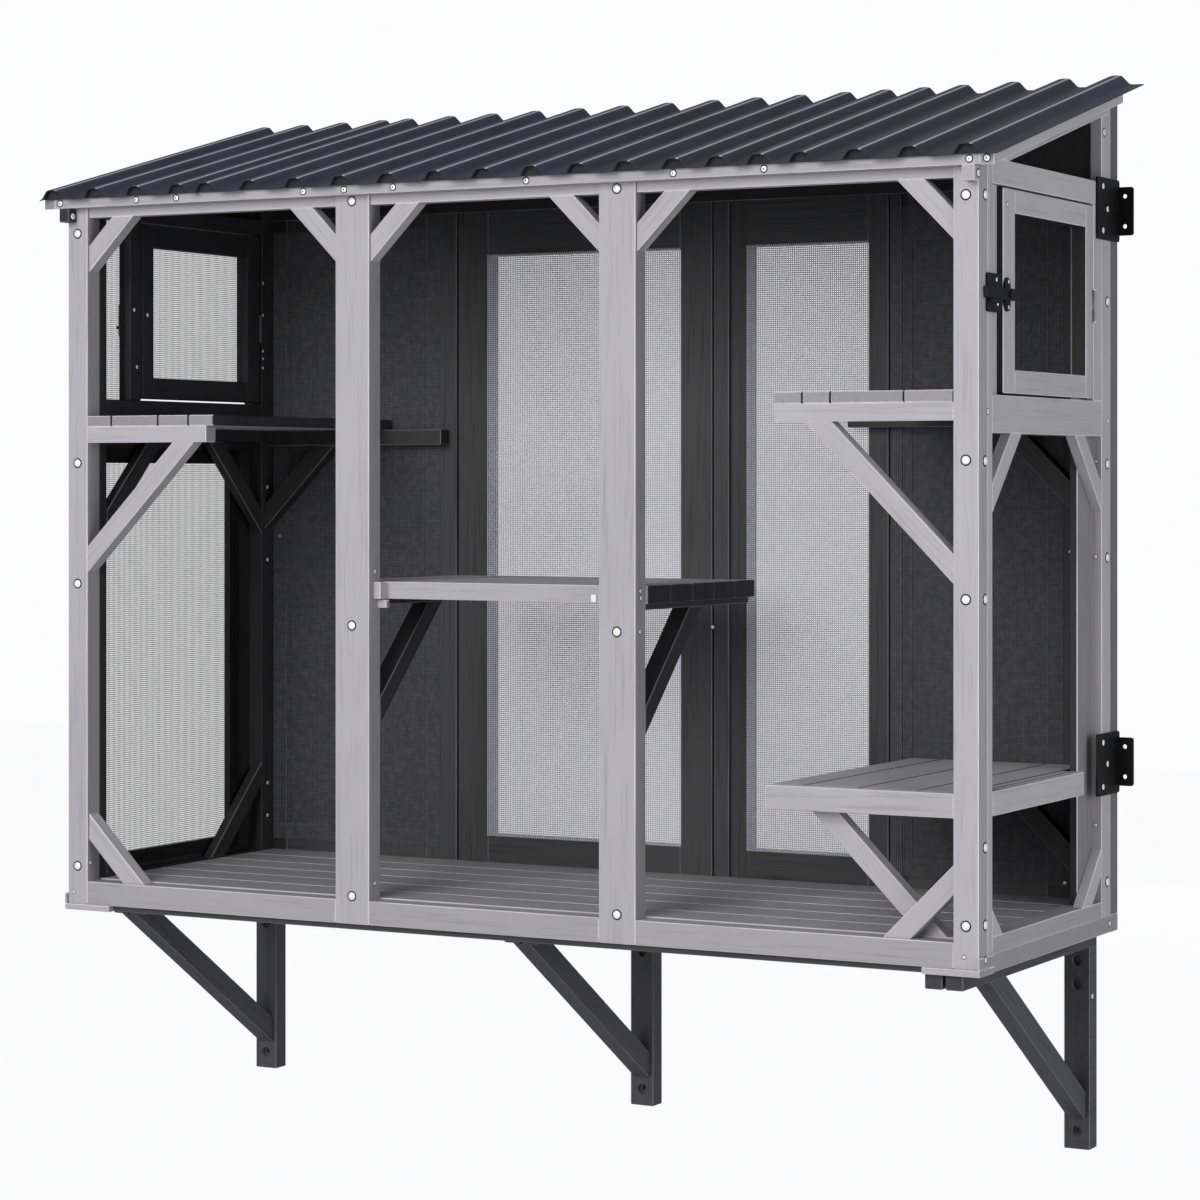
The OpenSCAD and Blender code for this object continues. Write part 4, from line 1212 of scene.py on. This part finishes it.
@dataclass
class Hardware:
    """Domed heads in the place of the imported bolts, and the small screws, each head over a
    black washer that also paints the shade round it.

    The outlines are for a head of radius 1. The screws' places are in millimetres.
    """

    scatter: Scatter
    node: str = "frame_bolts"
    washer_share: float = 1.3
    bolt_dome: tuple = ((0, 0), (1, 0), (1, 0.1), (0.86, 0.27), (0.5, 0.38), (0, 0.41))
    screw_dome: tuple = ((0, 0), (1, 0), (0.95, 0.15), (0.7, 0.25), (0.3, 0.28), (0.27, 0.1), (0, 0.1))
    washer_form: tuple = ((0, 0), (1, 0), (1, 0.05), (0.94, 0.07), (0.2, 0.07), (0.2, 0.16), (0, 0.16))
    sides: int = 12
    smooth_deg: float = 50.0
    # the fascia's screws: Y and Z, radius, and places across
    fascia_yz: tuple[float, float] = (-560, 1036.5)
    fascia_radius: float = 4.4
    fascia_x: tuple[int, ...] = (-750, -607, -533, -305, -234, -150, 72, 306, 445, 745, 770)
    # the corner brackets: heights, outer face, and their screws' radius, Y and rise
    leaf_z: tuple[int, ...] = (1006, 201)
    leaf_face: float = 753
    leaf_radius: float = 4.5
    leaf_right: tuple = ((-70, 32), (-52, 0), (-70, -32))
    leaf_left: tuple = ((-46, 32), (-35, 0), (-46, -32))
    screws: tuple = (
        # rafter tails, right stile, base and bracket board
        (752, -546, 1018.5, "+x", 5), (-734, -550, 1017, "+x", 5), (750, -58, 1117, "+x", 5),
        (753, -522.8, -24.9, "+x", 4), (750, -35.3, -33, "+x", 4), (729.2, -540, -20.4, "-y", 2.4),
        (718, -20.4, -143, "+x", 4),
        # right faces of the middle posts, and the back stile between the open windows
        (-204, -523.8, 479, "+x", 3.4), (236, -524.4, 457.3, "+x", 3.2), (236, -523.6, 447, "+x", 3.2),
        (236, -526.3, 400.7, "+x", 3.4), (103, -33, 385.4, "-y", 3), (107.4, -33, 422, "-y", 3),
        # fixed stile in front of the left door, and the stile behind it
        (-714, -419.8, 879.1, "+x", 3.2), (-714, -412.5, 790.1, "+x", 3.2), (-714, -64, 939.4, "+x", 2.4),
        (-714, -64, 886.4, "+x", 2.4), (-714, -64, 827, "+x", 2.4), (-714, -64, 814.4, "+x", 2.4),
        (-714, -64, 799.2, "+x", 2.4),
        # lower left: rear stile, front corner, base, foot of the middle post and back stile
        (-714, -51, 601.7, "+x", 3.2), (-714, -51, 481, "+x", 3.2), (-714, -50.4, 110.5, "+x", 3),
        (-714, -50.4, 56.7, "+x", 3), (-714, -531.8, 26, "+x", 3.2), (-739.8, -540, -19.4, "-y", 2.4),
        (-204, -523.9, 22.7, "+x", 3.2), (-701, -33, 520.6, "-y", 3),
        # right frame: front end of the middle rail, rear stile, and the stiles behind it
        (750, -508, 704, "+x", 3.6), (750, -43, 699, "+x", 3.4), (741, -67, 640, "-y", 2.6),
        (740, -67, 502, "-y", 2.6), (740, -67, 113, "-y", 2.8), (684, -33, 66.6, "-y", 2.6),
        (686.5, -33, 51.3, "-y", 2.6), (680.4, -33, 22, "-y", 2.6), (692, -33, 574, "-y", 2.6),
        (689, -33, 508, "-y", 2.6),
        # keeper of the right door
        (752.5, -482, 880.9, "+x", 3), (752.5, -478, 848.7, "+x", 3),
        # what swings with the doors
        (750, -436.3, 985, "+x", 3.4, "right_door_stiles"),
        (752.05, -437.5, 880.5, "+x", 2.8, "right_latch_plate"),
        (752.05, -437.5, 846, "+x", 2.8, "right_latch_plate"),
        (-714, -384.9, 872.7, "+x", 3.2, "left_door_stiles"),
    )

    def fixings(self) -> list[Fixing]:
        """List the small screws that the photograph shows.

        Returns:
            The screws.
        """
        rows = [(x, *self.fascia_yz, "-y", self.fascia_radius) for x in self.fascia_x]
        for z in self.leaf_z:
            rows += [(self.leaf_face, y, z + dz, "+x", self.leaf_radius) for y, dz in self.leaf_right]
            rows += [(-self.leaf_face, y, z + dz, "-x", self.leaf_radius) for y, dz in self.leaf_left]
        return [Fixing(*row) for row in (*rows, *self.screws)]

    def build(self) -> None:
        """Stand all the heads and their washers."""
        for piece in self.stand("frame_bolt_heads", self.bolt_dome, self.packed_heads(), self.node):
            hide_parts(self.node)
        bodies: dict[str, list[Fixing]] = {}
        for fixing in self.fixings():
            bodies.setdefault(body_of(fixing.node), []).append(fixing)
        for body, members in bodies.items():
            spots = [fixing.spot() for fixing in members]
            self.stand(body + "_screw_heads", self.screw_dome, spots, members[0].node)

    def stand(self, name: str, dome: tuple, spots: list, node: str) -> tuple:
        """Stand one kind of head with a dark washer under each, which also paints the shade round the head.

        Args:
            name: The piece's name.
            dome: The head's outline.
            spots: Where they stand.
            node: The CAD node whose body carries them.

        Returns:
            The heads and the washers.
        """
        wide = [(place, way, [size[0] * self.washer_share] * 3) for place, way, size in spots]
        shape, ring = (
            mesh_from(lathe(outline, self.sides), name + "_shape", self.smooth_deg)
            for outline in (dome, self.washer_form)
        )
        heads = self.scatter.stand(name, shape, spots, Finish.ZINC)
        washers_and_shade = self.scatter.stand(name + "_washers", ring, wide, Finish.DARK_RING)
        for piece in (heads, washers_and_shade):
            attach(piece, body_of(node))
        return heads, washers_and_shade

    def packed_heads(self) -> list[tuple]:
        """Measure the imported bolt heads.

        Returns:
            Foot centre, outward way and scale of each.
        """
        form = packed(self.node)
        heads = []
        for low, high in [box_of(faces) for faces in islands(form)]:
            size, centre = high - low, (low + high) / 2
            way = Vector((0, -1, 0)) if size.y < size.x else Vector((math.copysign(1, centre.x), 0, 0))
            foot = centre - way * abs(size.dot(way)) / 2
            heads.append((foot, way, (size.z / 2,) * 3))
        form.free()
        return heads


@dataclass
class Carried:
    """CAD nodes that keep their own mesh and take a finish."""

    pewter: tuple[str, ...] = ("hinge_fixed_leaves", "right_hinge_leaf", "left_hinge_leaf")
    steel: tuple[str, ...] = (
        "latch_keepers", "right_latch_plate", "left_latch_plate",
        "right_latch_bar", "left_latch_bar", "steel_corner_brackets",
    )
    zinc: tuple[str, ...] = ("hinge_pins",)

    def build(self) -> None:
        """Give each node its finish."""
        kinds = ((self.pewter, Finish.PEWTER), (self.steel, Finish.STEEL), (self.zinc, Finish.ZINC))
        for nodes, finish in kinds:
            for node in nodes:
                slots = frame["nodes"][node].data.materials
                slots.clear()
                slots.append(finish.material())
                LOG.info("%s wears %s", node, finish.value.name)


@dataclass
class ShelfTab:
    """The small bright plate on the middle shelf's front edge, by the right middle post.

    Its corners are in millimetres.
    """

    name: str = "middle_shelf_tab"
    low: tuple[float, float, float] = (149.0, -509.2, 440.0)
    high: tuple[float, float, float] = (157.0, -508.0, 450.6)
    cut: float = 0.35 * MM
    # angles in radians: faces this flat are one, and edges past the other are softened
    flat: float = 0.01
    corner: float = 1.0

    def build(self) -> None:
        """Press the plate with softened edges."""
        form = bmesh.new()
        for corner in itertools.product(*zip(self.low, self.high)):
            form.verts.new(Vector(corner) * MM)
        bmesh.ops.convex_hull(form, input=form.verts)
        bmesh.ops.dissolve_limit(form, angle_limit=self.flat, verts=form.verts, edges=form.edges)
        rim = [edge for edge in form.edges if edge.calc_face_angle(0) > self.corner]
        bmesh.ops.bevel(form, geom=rim, offset=self.cut, segments=2, profile=0.5, affect="EDGES")
        bmesh.ops.recalc_face_normals(form, faces=form.faces)
        tab = object_from(self.name, mesh_from(form, self.name), Finish.ZINC)
        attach(tab, body_of("shelf_planks"))


# ---------------- studio


@dataclass
class Studio:
    """The camera at the photograph's angle, soft lamps, a pale world and floor."""

    eye: tuple[float, float, float] = (2.4192, -4.6638, 0.610)
    turn_deg: float = 28.5
    lens_mm: float = 100.23
    sensor_mm: float = 36.0
    shift: float = -0.0983
    sight: float = 60.0
    # name, place, size and power of each lamp, and the point they all turn to
    lamps: tuple = (
        ("key_lamp", (-0.5, -5.9, 2.3), 3.2, 250.0),
        ("fill_lamp", (4.9, -1.5, 0.9), 2.6, 84.0),
        ("top_lamp", (0.4, -0.2, 4.4), 2.4, 30.0),
        ("back_lamp", (-1.2, 5.0, 0.6), 2.4, 90.0),
    )
    aim: tuple[float, float, float] = (0, -0.3, 0.5)
    # linear colours: the backdrop as the camera sees it, the light it gives, and the paper
    white: tuple[float, ...] = (0.97, 0.97, 0.98, 1)
    soft: tuple[float, ...] = (0.93, 0.95, 1.0, 1)
    soft_power: float = 0.3
    paper: tuple[float, ...] = (0.62, 0.62, 0.63, 1)
    # how much of the floor's look is backdrop, and how far the floor lies and reaches
    glow_share: float = 0.985
    floor_z: float = -0.62
    floor_reach: float = 9.0

    def build(self) -> None:
        """Place everything that isn't the object."""
        bpy.context.scene.view_settings.view_transform = "Standard"
        self.place_camera()
        self.place_lamps()
        self.light_world()
        self.lay_floor()

    def place_camera(self) -> None:
        """Put the camera where the photograph was taken from."""
        optics = bpy.data.cameras.new("photo_camera")
        optics.lens = self.lens_mm
        optics.sensor_fit = "HORIZONTAL"
        optics.sensor_width = self.sensor_mm
        optics.shift_y = self.shift
        optics.clip_end = self.sight
        camera = bpy.data.objects.new("photo_camera", optics)
        camera.location = self.eye
        camera.rotation_euler = (math.radians(90), 0, math.radians(self.turn_deg))
        bpy.context.scene.collection.objects.link(camera)
        bpy.context.scene.camera = camera

    def place_lamps(self) -> None:
        """Hang the large soft lamps."""
        for name, place, size, power in self.lamps:
            data = bpy.data.lights.new(name, "AREA")
            data.size = size
            data.energy = power
            lamp = bpy.data.objects.new(name, data)
            lamp.location = place
            sight = Vector(self.aim) - Vector(place)
            lamp.rotation_euler = sight.to_track_quat("-Z", "Y").to_euler()
            lamp.visible_camera = False
            bpy.context.scene.collection.objects.link(lamp)

    @staticmethod
    def end_tree(tree: Tree, out: str, share: Socket, plain: Node, seen: Node) -> None:
        """End a tree in one shader for the lamps' light and another for the camera."""
        both = add_node(tree, "ShaderNodeMixShader", {0: share, 1: plain.outputs[0], 2: seen.outputs[0]})
        add_node(tree, out, {"Surface": both.outputs[0]})

    def light_world(self) -> None:
        """Make a world that is white to the camera and soft grey to the object."""
        bpy.context.scene.world = bpy.data.worlds.new("studio_world")
        tree = blank_tree(bpy.context.scene.world)
        path = add_node(tree, "ShaderNodeLightPath").outputs
        seen = calc(tree, "MAXIMUM", path["Is Camera Ray"], path["Is Transmission Ray"])
        soft = add_node(tree, "ShaderNodeBackground", {"Color": self.soft, "Strength": self.soft_power})
        white = add_node(tree, "ShaderNodeBackground", {"Color": self.white, "Strength": 1.0})
        self.end_tree(tree, "ShaderNodeOutputWorld", seen, soft, white)

    def lay_floor(self) -> None:
        """Lay the plain pale floor."""
        mesh = bpy.data.meshes.new("studio_floor")
        corners = ((-1, -1), (1, -1), (1, 1), (-1, 1))
        places = [(x * self.floor_reach, y * self.floor_reach, self.floor_z) for x, y in corners]
        mesh.from_pydata(places, [], [(0, 1, 2, 3)])
        floor = bpy.data.objects.new("studio_floor", mesh)
        bpy.context.scene.collection.objects.link(floor)
        material = bpy.data.materials.new("pale_studio_paper")
        tree = blank_tree(material)
        path = add_node(tree, "ShaderNodeLightPath").outputs
        share = calc(tree, "MULTIPLY", path["Is Camera Ray"], self.glow_share)
        paper = add_node(tree, "ShaderNodeBsdfDiffuse", {"Color": self.paper})
        glow = add_node(tree, "ShaderNodeEmission", {"Color": self.white, "Strength": 1.0})
        self.end_tree(tree, "ShaderNodeOutputMaterial", share, paper, glow)
        mesh.materials.append(material)


def main() -> None:
    """Build the cabin's pieces in order."""
    logging.basicConfig(level=logging.INFO)
    Studio().build()
    Timberwork().build()
    Carried().build()
    scatter = Scatter()
    Roof(scatter).build()
    Screens().build()
    Hardware(scatter).build()
    ShelfTab().build()


if __name__ == "__main__":
    main()
